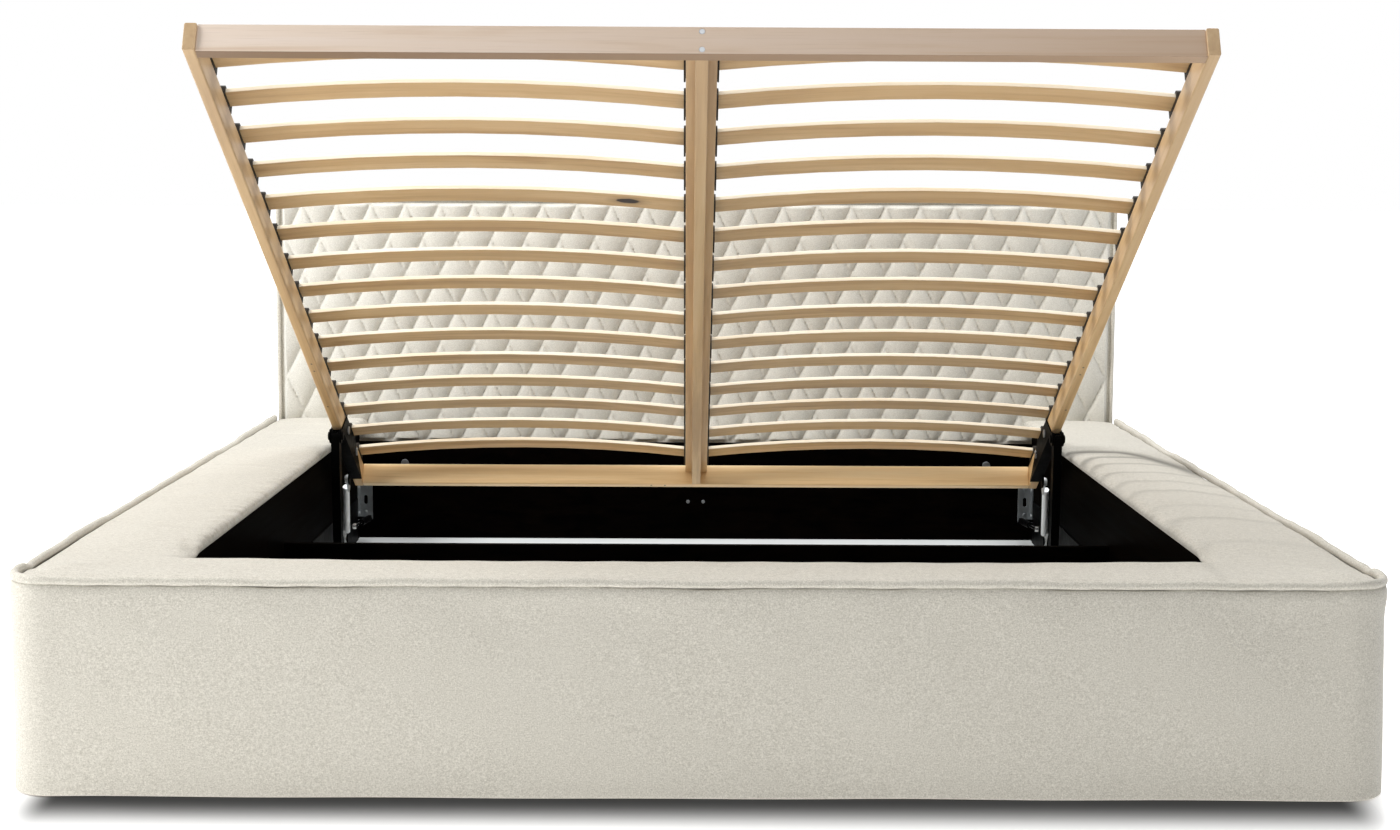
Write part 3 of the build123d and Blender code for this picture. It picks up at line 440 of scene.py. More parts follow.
def swelling(across, around, place, held, cap):
    """Moves of a padded surface's points under cloth pressure, on a coarse grid of shares."""
    trial, u, v = grid(across, around)
    start = place(u, v)
    put(trial, start)
    group = trial.vertex_groups.new(name="held")
    group.add([int(index) for index in np.flatnonzero(held(start))], 1.0, "REPLACE")
    cloth = trial.modifiers.new("swell", "CLOTH")
    cloth.settings.vertex_group_mass = "held"
    cloth.settings.use_pressure = True
    cloth.settings.uniform_pressure_force = SWELL_PRESSURE
    cloth.settings.effector_weights.gravity = 0.0
    cloth.point_cache.frame_end = SWELL_FRAMES
    for number in range(1, SWELL_FRAMES + 1):
        bpy.context.scene.frame_set(number)
    only(trial)
    bpy.ops.object.modifier_apply(modifier=cloth.name)
    move = points(trial) - start
    bpy.data.objects.remove(trial)
    bpy.context.scene.frame_set(1)
    size = np.linalg.norm(move, axis=1)
    move *= np.minimum(1, cap / np.maximum(size, NO_MOVE))[:, None]
    return move.reshape(around + 1, across + 1, 3)


def spread(moves, u, v):
    """Moves from the coarse grid at a finer grid's shares."""
    across, around = u * (moves.shape[1] - 1), v * (moves.shape[0] - 1)
    left = np.minimum(across.astype(int), moves.shape[1] - 2)
    low = np.minimum(around.astype(int), moves.shape[0] - 2)
    a, b = (across - left)[:, None], (around - low)[:, None]
    near = moves[low, left] * (1 - a) + moves[low, left + 1] * a
    far = moves[low + 1, left] * (1 - a) + moves[low + 1, left + 1] * a
    return near * (1 - b) + far * b


def eased(node, width, finish, segments=2):
    """Copy of a CAD node with softened edges."""
    source = frame["nodes"][node]
    piece = bpy.data.objects.new(f"{node}_finished", source.data.copy())
    bpy.context.scene.collection.objects.link(piece)
    edit(piece, lambda: bpy.ops.mesh.remove_doubles(threshold=CAD_WELD),
         lambda: bpy.ops.mesh.dissolve_limited(angle_limit=math.radians(FLAT_ANGLE)))
    bevel = piece.modifiers.new("edge", "BEVEL")
    bevel.width = width
    bevel.segments = segments
    bevel.limit_method = "ANGLE"
    bevel.angle_limit = math.radians(EDGE_ANGLE)
    bevel.use_clamp_overlap = True
    only(piece)
    bpy.ops.object.modifier_apply(modifier=bevel.name)
    smooth_up_to(SMOOTH_ANGLE)
    level = piece.modifiers.new("level", "WEIGHTED_NORMAL")
    level.keep_sharp = True
    bpy.ops.object.modifier_apply(modifier=level.name)
    slots = {part["node"]: part["material_slot"] for part in frame["record"]["subparts"]}
    bodies = frame["record"]["behaviour"]["bodies"]
    body = next(name for name, nodes in bodies.items() if node in nodes)
    dressed(piece, finish, body, slots[node], node)
    return piece


# Soft cover of the box: its outer faces, the ledges and their pads, all from the frame.
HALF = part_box("foot_cover")[1].x
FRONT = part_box("foot_cover")[0].y
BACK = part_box("side_cover_right")[1].y
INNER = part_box("ledge_pad_right")[0].x
INNER_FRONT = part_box("ledge_pad_foot")[1].y
SIDE_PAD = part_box("ledge_pad_right")[1].x - INNER
FOOT_PAD = INNER_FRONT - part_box("ledge_pad_foot")[0].y
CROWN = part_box("ledge_pad_foot")[1].z
PAD_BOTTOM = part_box("ledge_pad_foot")[0].z
# The height of the cover's top seam, and the radii of the corners of the box and of its pads.
SEAM = 0.3266
BOX_CORNER = 0.07
PAD_CORNER = 0.057
# How finely the surfaces are divided, and how far the pads may swell.
PAD_STEP = 0.0055
FAN_STEPS = 28
SECTION_STEPS = 72
OUTLINE_STEP = 0.012
SWELL_LIMIT = 0.004
# How much lower the pads start, to leave room for the swelling, and the width of the edges that are held.
# The foot's pad is thinner by a share, which grows along the sides from a y and over a length.
SWELL_ROOM = 0.0038
HELD_EDGE = 0.012
SINK_SHARE, SINK_START_Y, SINK_LENGTH = 0.3, -0.85, 0.118


def ring():
    """Stations round the three ledges: inner edge points and outer edge points."""
    inside, outside = [], []
    for y in np.arange(BACK, INNER_FRONT, -PAD_STEP):
        inside.append((INNER, y))
        outside.append((INNER + SIDE_PAD, y))
    across, deep = SIDE_PAD - PAD_CORNER, FOOT_PAD - PAD_CORNER
    for angle in np.linspace(0, math.pi / 2, FAN_STEPS + 1):
        c, s = math.cos(angle), math.sin(angle)
        span = min(SIDE_PAD / max(c, 1e-6), FOOT_PAD / max(s, 1e-6))
        if span * c > across and span * s > deep:
            b = across * c + deep * s
            span = b + math.sqrt(max(b * b - across ** 2 - deep ** 2 + PAD_CORNER ** 2, 0.0))
        inside.append((INNER, INNER_FRONT))
        outside.append((INNER + span * c, INNER_FRONT - span * s))
    turned = len(inside)
    for x in np.arange(INNER, -INNER, -PAD_STEP)[1:]:
        inside.append((x, INNER_FRONT))
        outside.append((x, INNER_FRONT - FOOT_PAD))
    inside += [(-x, y) for x, y in reversed(inside[:turned])]
    outside += [(-x, y) for x, y in reversed(outside[:turned])]
    return np.array(inside), np.array(outside)


# The dip and the peak of the sewn edge at the front corners: their y, their widths and their heights, and the
# dip's depths on the left and on the right.
DIP_Y, DIP_WIDTH = -1.055, 0.016
DIP_DEPTHS = {-1: 0.0042, 1: 0.0034}
PEAK_Y, PEAK_WIDTH, PEAK_HEIGHT = -1.1, 0.028, 0.0032


def wander(x, y):
    """Small rise and fall of the sewn outer edge, with a dip and a peak at each front corner."""
    wave = 0.0011 * np.sin(9.1 * x + 2.3 * y + 0.8) + 0.0009 * np.sin(21.0 * x - 13.0 * y + 2.0)
    wave += 0.0006 * np.sin(47.0 * x + 39.0 * y)
    for hand, depth in DIP_DEPTHS.items():
        near = np.exp(-((x - hand * (HALF - 0.01)) / 0.05) ** 2)
        dip = -depth * np.exp(-((y - DIP_Y) / DIP_WIDTH) ** 2)
        peak = PEAK_HEIGHT * np.exp(-((y - PEAK_Y) / PEAK_WIDTH) ** 2)
        wave += near * (dip + peak)
    return wave


def flange(x, y):
    """Extra height of the piping along the sides, where its seam stands up."""
    beside = np.clip((y - FRONT - 0.04) / 0.08, 0, 1)
    wave = 0.0018 * np.sin(7.3 * y + 1.0) + 0.0011 * np.sin(17.9 * y + 2.0)
    far = np.clip((y + 1.1) / 2.2, 0, 1)
    outer = np.clip((np.abs(x) - 1.0) / 0.02, 0, 1)
    return beside * (0.0004 + 0.0062 * far + wave * (0.4 + 0.6 * far) * outer)


# Soft folds of the ledges, each by its centre x, centre y, slope, half length, width and height.
FOLDS = (
    (0.930, -0.800, -0.30, 0.060, 0.015, 0.0022), (0.925, -0.980, -0.50, 0.060, 0.022, 0.0018),
    (-0.905, 0.900, -0.30, 0.060, 0.013, 0.0016), (-0.915, 0.700, -0.42, 0.070, 0.016, 0.0018),
    (-0.900, 0.420, 0.30, 0.060, 0.018, 0.0014), (-0.930, 0.100, -0.40, 0.070, 0.018, 0.0014),
    (-0.905, -0.300, 0.36, 0.070, 0.020, 0.0014), (-0.920, -0.720, -0.50, 0.060, 0.020, 0.0016),
    (0.985, -1.110, -1.30, 0.045, 0.011, 0.0032), (-0.985, -1.110, 1.30, 0.045, 0.011, 0.0034),
    (0.940, -1.050, -1.00, 0.060, 0.016, 0.0020), (-0.950, -1.060, 1.00, 0.060, 0.016, 0.0022),
    (0.550, -1.075, 2.60, 0.050, 0.022, 0.0014), (-0.480, -1.075, -2.20, 0.050, 0.024, 0.0013),
    (0.120, -1.080, 2.00, 0.045, 0.022, 0.0012), (-0.800, -1.085, 2.40, 0.050, 0.020, 0.0016),
)
# Pulled folds of the right ledge, each by the y of its level part, its drop towards the inner edge, its drop
# towards the outer edge, its width and its depth.
PULLS = (
    (0.430, -0.045, 0.260, 0.036, 1.00), (0.330, 0.180, 0.110, 0.017, 0.72),
    (0.212, 0.150, 0.060, 0.017, 0.50), (0.072, 0.120, 0.050, 0.016, 0.38),
    (-0.060, 0.180, 0.050, 0.018, 0.30), (-0.200, 0.170, 0.060, 0.019, 0.27),
    (-0.556, 0.190, 0.030, 0.024, 0.25), (-0.400, 0.150, 0.040, 0.020, 0.14),
    (-0.820, 0.120, 0.040, 0.024, 0.12),
)
PULL_INNER_X, PULL_OUTER_X = 0.885, 0.915
PULL_INNER_SPAN, PULL_OUTER_SPAN = 0.074, 0.115
PULL_DEPTH = 0.0032


def pulls(x, y):
    """Share from 0 to 1 of the pulled folds that curve out over the right ledge."""
    share = np.zeros_like(x)
    near = np.clip((PULL_INNER_X - x) / PULL_INNER_SPAN, 0, 1)
    far = np.clip((x - PULL_OUTER_X) / PULL_OUTER_SPAN, 0, 1.2)
    for level, drop, fall, width, depth in PULLS:
        crest = level - drop * (1 - np.sqrt(1 - near ** 2)) - fall * far ** 2
        slope = drop * near / np.sqrt(1.02 - near ** 2) / PULL_INNER_SPAN - 2 * fall * far / PULL_OUTER_SPAN
        steep = np.hypot(1, slope)
        away = (crest - y) / (width * steep)
        share = np.maximum(share, depth * np.exp(-np.where(away < 0, (away / 0.35) ** 2, away ** 2)))
    return share * np.clip((x - 0.79) / 0.01, 0, 1)


def gathers(y):
    """Rise and fall of the short gathers along the ledges' inner edges."""
    return np.sin(150 * y + 5 * np.sin(17 * y)) + 0.6 * np.sin(263 * y + 4 * np.sin(29 * y))


def wrinkles(x, y):
    """Height of the folds in the ledge's cover."""
    rise = np.zeros_like(x)
    for centre_x, centre_y, slope, reach, width, height in FOLDS:
        turn = math.atan(slope)
        dx, dy = x - centre_x, y - centre_y
        along = (dx * math.cos(turn) + dy * math.sin(turn)) / reach
        across = (dy * math.cos(turn) - dx * math.sin(turn)) / width
        bend = across + 0.35 * along * along
        rise += height * np.exp(-along ** 4) * (np.exp(-bend ** 2) - 0.4 * np.exp(-((bend - 1.7) ** 2)))
    rise -= PULL_DEPTH * pulls(x, y)
    rise += 0.0007 * np.sin(31 * x + 17 * y) * np.sin(19 * y - 23 * x + 1.0)
    return rise


def ledge_section():
    """Closed section of a ledge pad as distance from its inner edge and height."""
    nose, droop = 0.0115, 0.0095
    shoulder = PAD_BOTTOM + 2 * nose
    edge = FOOT_PAD - 0.003

    def top(w):
        share = (w - nose) / (FOOT_PAD - nose)
        return shoulder + (CROWN - shoulder) * math.sin(math.pi * share) ** 0.7 - droop * share ** 3

    section = [(nose - nose * math.sin(a), PAD_BOTTOM + nose - nose * math.cos(a))
               for a in np.linspace(0, math.pi, 15)]
    section += [(w, top(w)) for w in np.linspace(nose, edge, 30)[1:]]
    section += [(FOOT_PAD, PAD_BOTTOM + 0.007), (FOOT_PAD, PAD_BOTTOM + 0.002)]
    section += [(FOOT_PAD - 0.004, PAD_BOTTOM), (FOOT_PAD - 0.02, PAD_BOTTOM)]
    section += [(w, PAD_BOTTOM) for w in np.linspace(FOOT_PAD - 0.03, nose + 0.01, 8)]
    section = np.array(section + section[:1])
    lengths = np.concatenate([[0], np.cumsum(np.hypot(*np.diff(section, axis=0).T))])
    shares = np.linspace(0, lengths[-1], SECTION_STEPS + 1)
    return np.interp(shares, lengths, section[:, 0]), np.interp(shares, lengths, section[:, 1])


# The ledges' cover above TOP_LEVEL: how much its outer edge rises towards the head and at the front corners,
# how deep the gathers along its inner edge are, and the share of them that the right side shows.
TOP_LEVEL = 0.322
HEAD_RISE, CORNER_RISE = 0.006, 0.0065
CORNER_X, CORNER_Y = 0.99, -1.11
GATHER_DEPTH, GATHER_WIDTH, TUG_WIDTH = 0.0019, 0.028, 0.012
RIGHT_GATHER_SHARE = 0.35


def sewn(spots, w):
    """Points of the padded ledges with folds, gathers and sewn edge; w is the way from the inner edge."""
    x, y, z = spots.T
    top = np.clip((z - TOP_LEVEL) / 0.012, 0, 1)
    outer = np.clip((w - 0.12) / 0.08, 0, 1) * top
    out = w / FOOT_PAD
    z = z + top * wrinkles(x, y) + outer * wander(x, y) * 0.6
    z = z + top * HEAD_RISE * np.clip((y + 1.0) / 2.1, 0, 1) * out ** 3
    corner = np.exp(-((np.abs(x) - CORNER_X) / 0.05) ** 2 - ((y - CORNER_Y) / 0.06) ** 2)
    z = z + CORNER_RISE * corner * out ** 2 * top
    gather = gathers(y + 0.5 * w) * np.where(x < 0, 1.0, RIGHT_GATHER_SHARE)
    sunk = GATHER_DEPTH * gather * np.exp(-(w / GATHER_WIDTH) ** 2) * top * np.clip((0.99 + y) / 0.1, 0, 1)
    tug = (0.0010 * np.sin(95 * y + 4 * np.sin(13 * y)) + 0.0006 * gather) * np.exp(-w / TUG_WIDTH) * top
    beside = np.abs(x) > INNER - 0.002
    z = z - np.where(beside, sunk, 0)
    x = x + np.where(beside, np.sign(x) * (tug + 0.0004), 0)
    y = y - np.where(beside, 0, 0.0009 * np.sin(60 * x) * np.exp(-w / TUG_WIDTH)) * top
    return np.stack([x, y, z], axis=1)


def fold_and_gather_shade(x, y, z):
    """Share from 0 to 1 of painted shade: the dark bands of the pulled folds and the shade along the left
    ledge's gathers.
    """
    within = np.exp(-(np.clip(-x - INNER, 0, 1) / 0.03) ** 2) * (x < -0.79) * (y > INNER_FRONT - 0.02)
    gather_shade = 0.22 * within * np.clip(gathers(y) * 0.6 + 0.3, 0, 1)
    return np.clip(0.95 * pulls(x, y) + gather_shade, 0, 1) * (z > 0.33)


def ledge_cover():
    """One padded cover over the two side ledges and the foot ledge."""
    inside, outside = ring()
    section_w, section_z = ledge_section()
    bottom = section_z.min()
    last = len(inside) - 1
    side_rows = int((inside[:last // 2, 1] > INNER_FRONT).sum())

    def plain(u, v):
        row = line(u, last)
        col = line(v, SECTION_STEPS)
        start, end = inside[row], outside[row]
        span = np.hypot(*(end - start).T)
        w, z = section_w[col], section_z[col]
        middle = np.clip((w - 0.03) / (FOOT_PAD - 0.06), 0, 1)
        far = w + (span - FOOT_PAD) * middle * middle * (3 - 2 * middle)
        x, y = (start + (end - start) * (far / span)[:, None]).T
        along_side = (row < side_rows) | (row > last - side_rows)
        foot = np.where(along_side, np.clip((SINK_START_Y - y) / SINK_LENGTH, 0, 1), 1.0)
        sink = SINK_SHARE * foot * foot * (3 - 2 * foot) * (1 - 0.7 * (w / FOOT_PAD) ** 2)
        z = z - (z - bottom) * sink - SWELL_ROOM * np.clip((z - bottom) / 0.02, 0, 1)
        return np.stack([x, y, z], axis=1), w

    def held(spots):
        x, y, z = spots.T
        return ((z < bottom + 0.004) | (np.abs(x) > INNER + SIDE_PAD - HELD_EDGE)
                | (y < INNER_FRONT - FOOT_PAD + HELD_EDGE) | (y > BACK - 0.01))

    moves = np.zeros((2, 2, 3))
    moves = swelling(last // 5, SECTION_STEPS // 2, lambda u, v: plain(u, v)[0], held, SWELL_LIMIT)

    pad = surface("ledge_cover", last, SECTION_STEPS, lambda u, v: sewn(*plain(u, v)) + spread(moves, u, v))
    dressed(pad, COVER, "bed_box", "cover_fabric", "ledge_pad_left", "ledge_pad_right", "ledge_pad_foot")
    # Painted shade of the folds and gathers, stored on the cover's points for its material.
    press = fold_and_gather_shade(*points(pad).T)
    pad.data.attributes.new("press", "FLOAT", "POINT").data.foreach_set("value", press)


def outline(inset):
    """Path round the box's outer faces at an inset: places and outward directions."""
    half, front, radius = HALF - inset, FRONT + inset, BOX_CORNER - inset
    places, ways = [], []
    for y in np.arange(BACK, front + radius, -OUTLINE_STEP):
        places.append((half, y))
        ways.append((1.0, 0.0))
    for angle in np.linspace(0, -math.pi / 2, 15):
        places.append((half - radius + radius * math.cos(angle), front + radius + radius * math.sin(angle)))
        ways.append((math.cos(angle), math.sin(angle)))
    for x in np.arange(half - radius, 0, -OUTLINE_STEP)[1:]:
        places.append((x, front))
        ways.append((0.0, -1.0))
    places += [(-x, y) for x, y in reversed(places)]
    ways += [(-x, y) for x, y in reversed(ways)]
    return np.array(places), np.array(ways)


def box_cover():
    """Fabric over the box's outer faces, turned under at the floor and sewn to the piping at the top.

    Each level is an inset from the outer face and a height: up the face, over the seam, down the inner side.
    """
    places, ways = outline(0.0)
    turned_in = 0.006
    levels = [(0.005, 0.004), (0.0025, 0.0008), (0.0004, 0.0022), (0.0, 0.006)]
    levels += [(0.0, z) for z in np.linspace(0.03, 0.310, 28)]
    levels += [(0.0004, 0.319), (0.002, 0.324), (0.0035, SEAM), (turned_in, SEAM)]
    levels += [(turned_in, z) for z in np.linspace(0.30, 0.02, 6)] + [(turned_in, 0.010)]
    levels = np.array(levels)
    last, count = len(places) - 1, len(levels) - 1

    def place(u, v):
        row = line(u, last)
        col = line(v, count)
        inset, z = levels[col].T
        x, y = (places[row] - ways[row] * inset[:, None]).T
        out = (0.0012 * np.sin(5.3 * x + 3.1 * y + 9 * z) + 0.0008 * np.sin(11 * x - 7 * y + 17 * z))
        out += 0.0012 * np.exp(-((z - 0.27) / 0.03) ** 2) * np.sin(27 * x + 21 * y)
        out = out * (inset < 0.004) * np.clip((0.31 - z) / 0.02, 0, 1)
        high = np.clip((z - 0.30) / 0.02, 0, 1)
        low = np.clip((0.03 - z) / 0.02, 0, 1)
        z = z + high * wander(x, y) + low * 0.0010 * np.sin(7.7 * x + 6.1 * y) ** 2
        return np.stack([x + ways[row][:, 0] * out, y + ways[row][:, 1] * out, z], axis=1)

    cover = surface("box_cover", last, count, place)
    dressed(cover, COVER, "bed_box", "cover_fabric", "side_cover_left", "side_cover_right", "foot_cover")


def box_piping():
    """Corded piping along the top edge of the box."""
    inset, radius = 0.0065, 0.0066
    places, ways = outline(inset)
    middle = SEAM + radius
    last, count = len(places) - 1, 18

    def place(u, v):
        row = line(u, last)
        angle = 2 * math.pi * line(v, count) / count
        x, y = places[row].T
        lift = wander(x, y) + flange(x, y)
        size = radius * (1 + 0.05 * np.sin(83 * x + 71 * y))
        side = ways[row] * (size * np.cos(angle))[:, None]
        high = size * np.sin(angle)
        z = middle + high + lift * (0.35 + 0.65 * (high > 0))
        return np.stack([x + side[:, 0], y + side[:, 1], z], axis=1)

    roll = surface("box_piping", last, count, place)
    dressed(roll, COVER, "bed_box", "cover_fabric", "ledge_piping")


# Headboard: the diamonds' width and height, the level of a crossing, and where the quilting starts.
DIAMOND_WIDE, DIAMOND_TALL = 0.085, 0.172
CROSSING = 0.446
QUILT_START = 0.284
# Channels, each by its hand, its depth and how round the cloth is beside it.
CHANNELS = ((1, 0.0060, 1.0), (-1, 0.0034, 0.45))
CHANNEL_WIDTH = 0.0036
PUFF, PUCKER = 0.0088, 0.0006
# The plain border round the quilting, its seam and the roll of the pad's edge.
BORDER, BORDER_DEPTH = 0.004, 0.0015
SEAM_DEPTH = 0.003
QUILT_ROLL = 0.011
QUILT_THICKNESS = 0.028
QUILT_STEPS = (500, 190)
QUILT_SMOOTH_ANGLE = 50
HEADBOARD_ROUND = 0.009


def diamonds(x, z):
    """Depth of the channels and share of the puff between them."""
    lean = math.atan2(DIAMOND_WIDE, DIAMOND_TALL)
    spacing = DIAMOND_WIDE * math.cos(lean)
    rise = z - CROSSING
    depth = np.zeros_like(x)
    puff = np.ones_like(x)
    for hand, deep, round_share in CHANNELS:
        phase = (x * math.cos(lean) - hand * rise * math.sin(lean)) / spacing
        away = np.abs(phase - np.rint(phase)) * spacing
        depth = np.maximum(depth, deep * np.exp(-away / CHANNEL_WIDTH))
        share = np.clip(away / spacing, 0, 0.5)
        puff *= (4 * share * (1 - share)) ** round_share
    return depth, puff


def quilt():
    """Front of the headboard, quilted in tall diamonds that puff out between their channels."""
    low_corner, high_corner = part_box("headboard_quilt")
    half, low, high = high_corner.x, low_corner.z, high_corner.z

    def place(u, v):
        x = (2 * u - 1) * half
        z = np.interp(v, (0.0, 0.04, 1.0), (low, QUILT_START, high))
        depth, puff = diamonds(x, z)
        rim = np.minimum(np.minimum(half - np.abs(x), high - z), 0.2)
        inside = np.clip((rim - BORDER) / 0.008, 0, 1)
        round_edge = QUILT_ROLL * np.clip(1 - rim / QUILT_ROLL, 0, 1) ** 2
        pucker = PUCKER * np.sin(260 * x + 90 * z) * np.sin(210 * z - 60 * x) * (depth / 0.006)
        inside *= np.clip((z - QUILT_START - 0.002) / 0.006, 0, 1)
        y = BACK + inside * (depth - PUFF * puff + pucker) + round_edge + (1 - inside) * BORDER_DEPTH
        seam = np.exp(-((rim - BORDER) / 0.004) ** 2)
        return np.stack([x, y + SEAM_DEPTH * seam, z], axis=1)

    pad = surface("quilted_front", *QUILT_STEPS, place, weld=False)
    edit(pad, bpy.ops.mesh.region_to_loop,
         lambda: bpy.ops.mesh.extrude_region_move(TRANSFORM_OT_translate={"value": (0, QUILT_THICKNESS, 0)}),
         bpy.ops.mesh.edge_face_add,
         lambda: bpy.ops.mesh.select_all(action="SELECT"),
         lambda: bpy.ops.mesh.normals_make_consistent(inside=False))
    smooth_up_to(QUILT_SMOOTH_ANGLE)
    dressed(pad, QUILT, "bed_box", "cover_fabric", "headboard_quilt")


def headboard_cover():
    """Fabric round the headboard's edges and over its back."""
    low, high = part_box("headboard_cover")
    bpy.ops.object.select_all(action="DESELECT")
    bpy.ops.mesh.primitive_cube_add(size=1, location=(low + high) / 2)
    cover = bpy.context.object
    cover.name = "headboard_wrap"
    cover.scale = high - low
    bpy.ops.object.transform_apply(location=True, rotation=True, scale=True)
    edit(cover, lambda: bpy.ops.mesh.bevel(offset=HEADBOARD_ROUND, segments=4),
         lambda: bpy.ops.mesh.subdivide(number_cuts=3))
    only(cover)
    smooth_up_to(SMOOTH_ANGLE)
    dressed(cover, COVER, "bed_box", "cover_fabric",
            "headboard_cover", "headboard_board", "headboard_battens")


def headboard_piping():
    """Thin piping round the headboard's front edge."""
    low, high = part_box("headboard_piping")
    radius = (high.y - low.y) / 2
    y = (low.y + high.y) / 2
    half, top, corner = high.x - radius, high.z - radius, HEADBOARD_ROUND
    path = [(half, z) for z in np.arange(low.z, top - corner, OUTLINE_STEP)]
    path += [(half - corner + corner * math.cos(a), top - corner + corner * math.sin(a))
             for a in np.linspace(0, math.pi / 2, 8)]
    path += [(x, top) for x in np.arange(half - corner, 0, -OUTLINE_STEP)[1:]]
    path += [(-x, z) for x, z in reversed(path)]
    path = np.array(path)
    ways = np.gradient(path, axis=0)
    ways /= np.hypot(*ways.T)[:, None]
    last, count = len(path) - 1, 14

    def place(u, v):
        row = line(u, last)
        angle = 2 * math.pi * line(v, count) / count
        x, z = path[row].T
        across = ways[row][:, ::-1] * (1, -1)
        size = radius * (1 + 0.05 * np.sin(61 * x + 77 * z))
        return np.stack([x + across[:, 0] * size * np.cos(angle), y + size * np.sin(angle),
                         z + across[:, 1] * size * np.cos(angle)], axis=1)

    roll = surface("headboard_roll", last, count, place)
    dressed(roll, COVER, "bed_box", "cover_fabric", "headboard_piping")


# Slat frame, boards and metal
SLAT_ROWS = 15


def slats():
    """Sprung slats with a painted highlight: a pale copy of the birch on their narrow edges, where the
    foot-facing edge catches the light.
    """
    toward_foot = Vector((0, -math.cos(TILT), math.sin(TILT)))
    for row in range(1, SLAT_ROWS + 1):
        piece = eased(f"slat_row_{row:02d}", 0.0016, SLAT)
        piece.data.materials.append(SLAT_HIGHLIGHT.material)
        for face in piece.data.polygons:
            if abs(face.normal.dot(toward_foot)) > 0.8:
                face.material_index = 1


def hard_parts():
    """Wood, boards, caps and metal that show, with their edges softened by a width in so many segments."""
    for finish, width, segments, *nodes in (
            (RAIL, 0.0015, 2, "side_rail_left", "side_rail_right", "beam_flange", "beam_web"),
            (FRONT_RAIL, 0.0018, 2, "foot_rail"),
            (CROSS, 0.0018, 2, "head_rail"),
            (CAP, 0.0012, 2, "slat_caps", "beam_caps"),
            (BLACK_BOARD, 0.0008, 1, "mid_divider", "foot_rest"),
            (BLACK_BOARD, 0.0008, 1, "inner_board_left", "inner_board_right", "inner_board_foot",
             "inner_board_head"),
            (BLACK_STEEL, 0.0005, 1, "frame_brackets", "front_arms", "lift_bases", "strut_cylinders"),
            (WORN_ZINC, 0.0004, 1, "corner_brackets"),
            (ZINC, 0.0004, 1, "frame_hardware"),
            (DULL_ZINC, 0.0004, 1, "box_hardware"),
            (BRIGHT_ZINC, 0.0004, 1, "rear_links"),
            (CHROME, 0.0003, 1, "strut_rods"),
            (FLOOR_BOARD, 0.0006, 1, "floor_panels")):
        for node in nodes:
            eased(node, width, finish, segments)


def hidden_parts():
    """Boards under the cover and the glides, which keep their CAD meshes."""
    for finish, *nodes in (
            (RAW_BOARD, "outer_board_left", "outer_board_right", "outer_board_foot", "ledge_ribs",
             "ledge_board_left", "ledge_board_right", "ledge_board_foot", "floor_battens"),
            (CAP, "glides")):
        for node in nodes:
            materials = frame["nodes"][node].data.materials
            materials.clear()
            materials.append(finish.material)


# Floor, light and camera. The floor's painted shadow reaches SHADOW_AHEAD in front of the bed. Towards the
# sides it fades out over SHADOW_FADE, from a line SHADOW_INSET inside the bed's sides.
SHADOW_AHEAD = 0.2
SHADOW_INSET = 0.085
SHADOW_FADE = 0.07
FLOOR_SIZE = 120
WHITE = (1.0, 1.0, 1.0)


def grey(value):
    """Neutral colour."""
    return (value, value, value)


def studio_floor():
    """White floor with a painted shadow in front of the bed that only the camera sees; for other rays it
    glows grey, as painted light from below in place of the floor's bounce.
    """
    bpy.ops.object.select_all(action="DESELECT")
    bpy.ops.mesh.primitive_plane_add(size=FLOOR_SIZE)
    floor = bpy.context.object
    floor.name = "studio_floor"
    paper = Finish("floor_paper", Roughness=0.9, Specular_IOR_Level=0.1, Emission_Strength=1.0)
    place = paper.place()
    ahead = (abs(paper.axis(place, "Y")) - abs(FRONT)).at_least(0.0) / SHADOW_AHEAD
    beside = (abs(paper.axis(place, "X")) - HALF + SHADOW_INSET).at_least(0.0) / SHADOW_FADE
    reach = (ahead * ahead + beside * beside) ** 0.5
    away = reach.clipped()
    clear = (away * away * (3.0 - away * 2.0)) ** 1.35
    far = (reach - 0.75).clipped()
    seen = paper.node("ShaderNodeLightPath", output="Is Camera Ray")
    # Painted shadow: near the bed the camera sees a dark floor with a weak glow, further out a white glow;
    # other rays see a grey glow, painted light from below.
    glow_with_painted_shadow = paper.blend(clear * 0.3 + far * 0.7, grey(0.03), WHITE)
    paper.set(Base_Color=paper.blend(seen * (1.0 - clear), grey(0.82), grey(0.02)),
              Emission_Color=paper.blend(seen, grey(0.62), glow_with_painted_shadow))
    floor.data.materials.append(paper.material)


FILL_LIGHT = 0.17


def studio_sky():
    """White backdrop for the camera and for reflections, and a weak fill light for the rest."""
    world = bpy.data.worlds.new("studio")
    bpy.context.scene.world = world
    world.use_nodes = True
    tree = world.node_tree
    sky = tree.nodes["Background"]
    path = tree.nodes.new("ShaderNodeLightPath")
    clear = tree.nodes.new("ShaderNodeMath")
    clear.operation = "MAXIMUM"
    tree.links.new(path.outputs["Is Camera Ray"], clear.inputs[0])
    tree.links.new(path.outputs["Is Glossy Ray"], clear.inputs[1])
    strength = tree.nodes.new("ShaderNodeMix")
    strength.inputs[2].default_value = FILL_LIGHT
    strength.inputs[3].default_value = 1.0
    tree.links.new(clear.outputs[0], strength.inputs[0])
    tree.links.new(strength.outputs[0], sky.inputs["Strength"])
    sky.inputs["Color"].default_value = (*WHITE, 1.0)


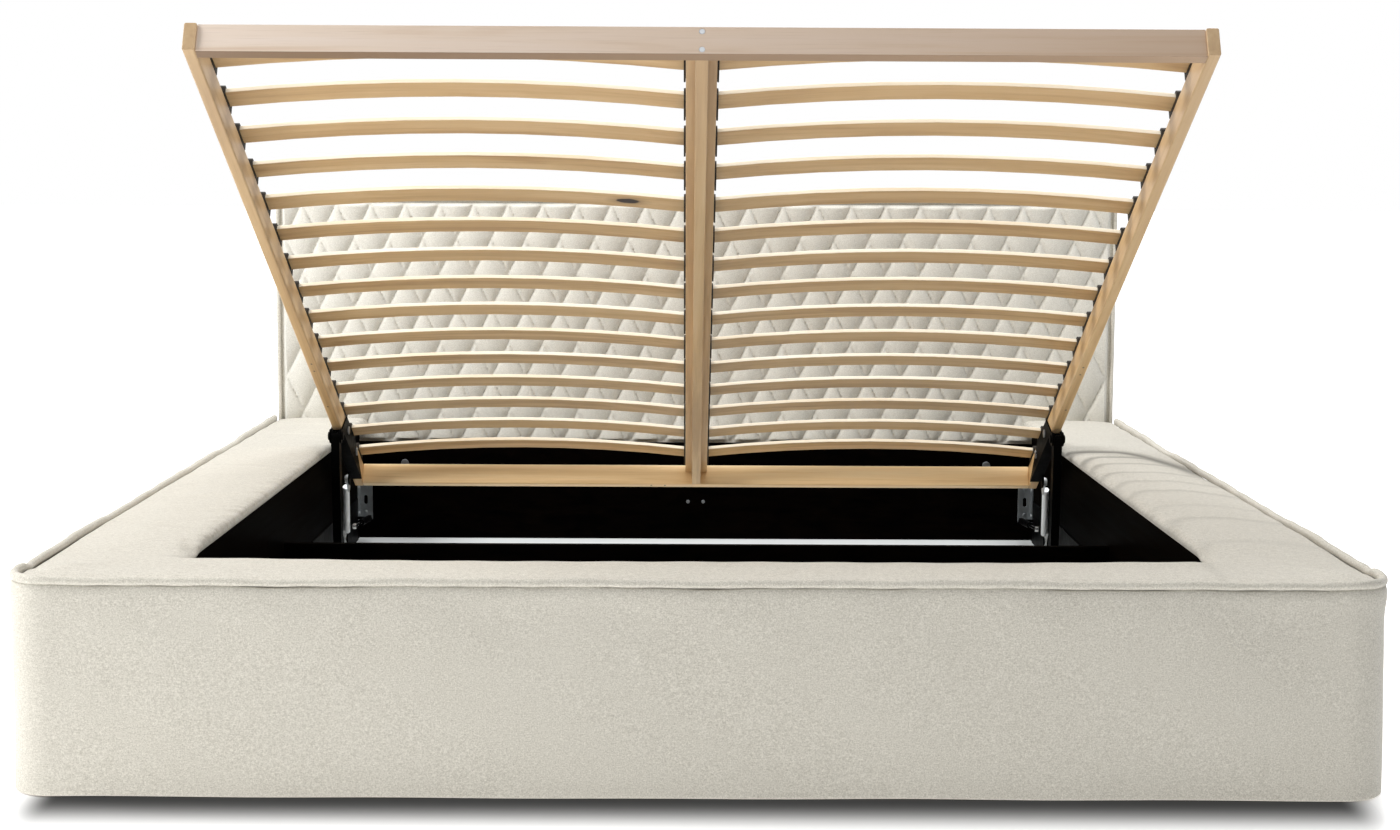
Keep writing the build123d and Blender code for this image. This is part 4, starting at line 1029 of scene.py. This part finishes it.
# Lamps, each by its name, its place, what it faces, its size, its power and its colour.
LAMPS = (
    ("key_left", (-3.1, -0.7, 3.3), (-0.4, -0.2, 0.3), 1.6, 140, (1.0, 0.995, 0.985)),
    ("top_soft", (0.9, 0.2, 4.4), (0.3, 0.0, 0.3), 3.5, 176, WHITE),
    ("front_low", (-3.2, -3.2, 0.3), (-0.8, -1.1, 0.1), 1.2, 54, (1.0, 0.995, 0.98)),
)


def studio_lamps():
    """Soft light from the left, from above and low from the front."""
    for name, place, target, size, power, colour in LAMPS:
        data = bpy.data.lights.new(name, "AREA")
        data.shape = "SQUARE"
        data.size = size
        data.energy = power
        data.color = colour
        lamp = bpy.data.objects.new(name, data)
        bpy.context.scene.collection.objects.link(lamp)
        lamp.location = place
        lamp.rotation_euler = (Vector(target) - Vector(place)).to_track_quat("-Z", "Y").to_euler()


# The camera's place, its turn in degrees, and its focal length and picture width in pixels.
CAMERA_PLACE = (-0.018, -4.585, 0.947)
CAMERA_PITCH, CAMERA_YAW, CAMERA_ROLL = 6.0, 0.285, -0.29
FOCAL_PIXELS, PICTURE_PIXELS = 2280, 1400
SENSOR = 36


def camera():
    """Camera low at the foot, tipped a little down, as in the photograph."""
    pitch, yaw, roll = (math.radians(turn) for turn in (CAMERA_PITCH, CAMERA_YAW, CAMERA_ROLL))
    right = Vector((math.cos(yaw), -math.sin(yaw), 0))
    ahead = Vector((math.sin(yaw) * math.cos(pitch), math.cos(yaw) * math.cos(pitch), -math.sin(pitch)))
    down = ahead.cross(right)
    tipped = math.cos(roll) * right + math.sin(roll) * down
    up = -(ahead.cross(tipped))
    data = bpy.data.cameras.new("view")
    data.sensor_width = SENSOR
    data.lens = FOCAL_PIXELS * SENSOR / PICTURE_PIXELS
    data.clip_end = 200
    eye = bpy.data.objects.new("view", data)
    bpy.context.scene.collection.objects.link(eye)
    turn = Matrix((tipped, up, -ahead)).transposed().to_4x4()
    eye.matrix_world = Matrix.Translation(CAMERA_PLACE) @ turn
    bpy.context.scene.camera = eye


ledge_cover()
box_cover()
box_piping()
quilt()
headboard_cover()
headboard_piping()
slats()
hard_parts()
hidden_parts()
studio_floor()
studio_sky()
studio_lamps()
camera()
bpy.context.scene.view_settings.view_transform = "Standard"
bpy.ops.object.select_all(action="DESELECT")
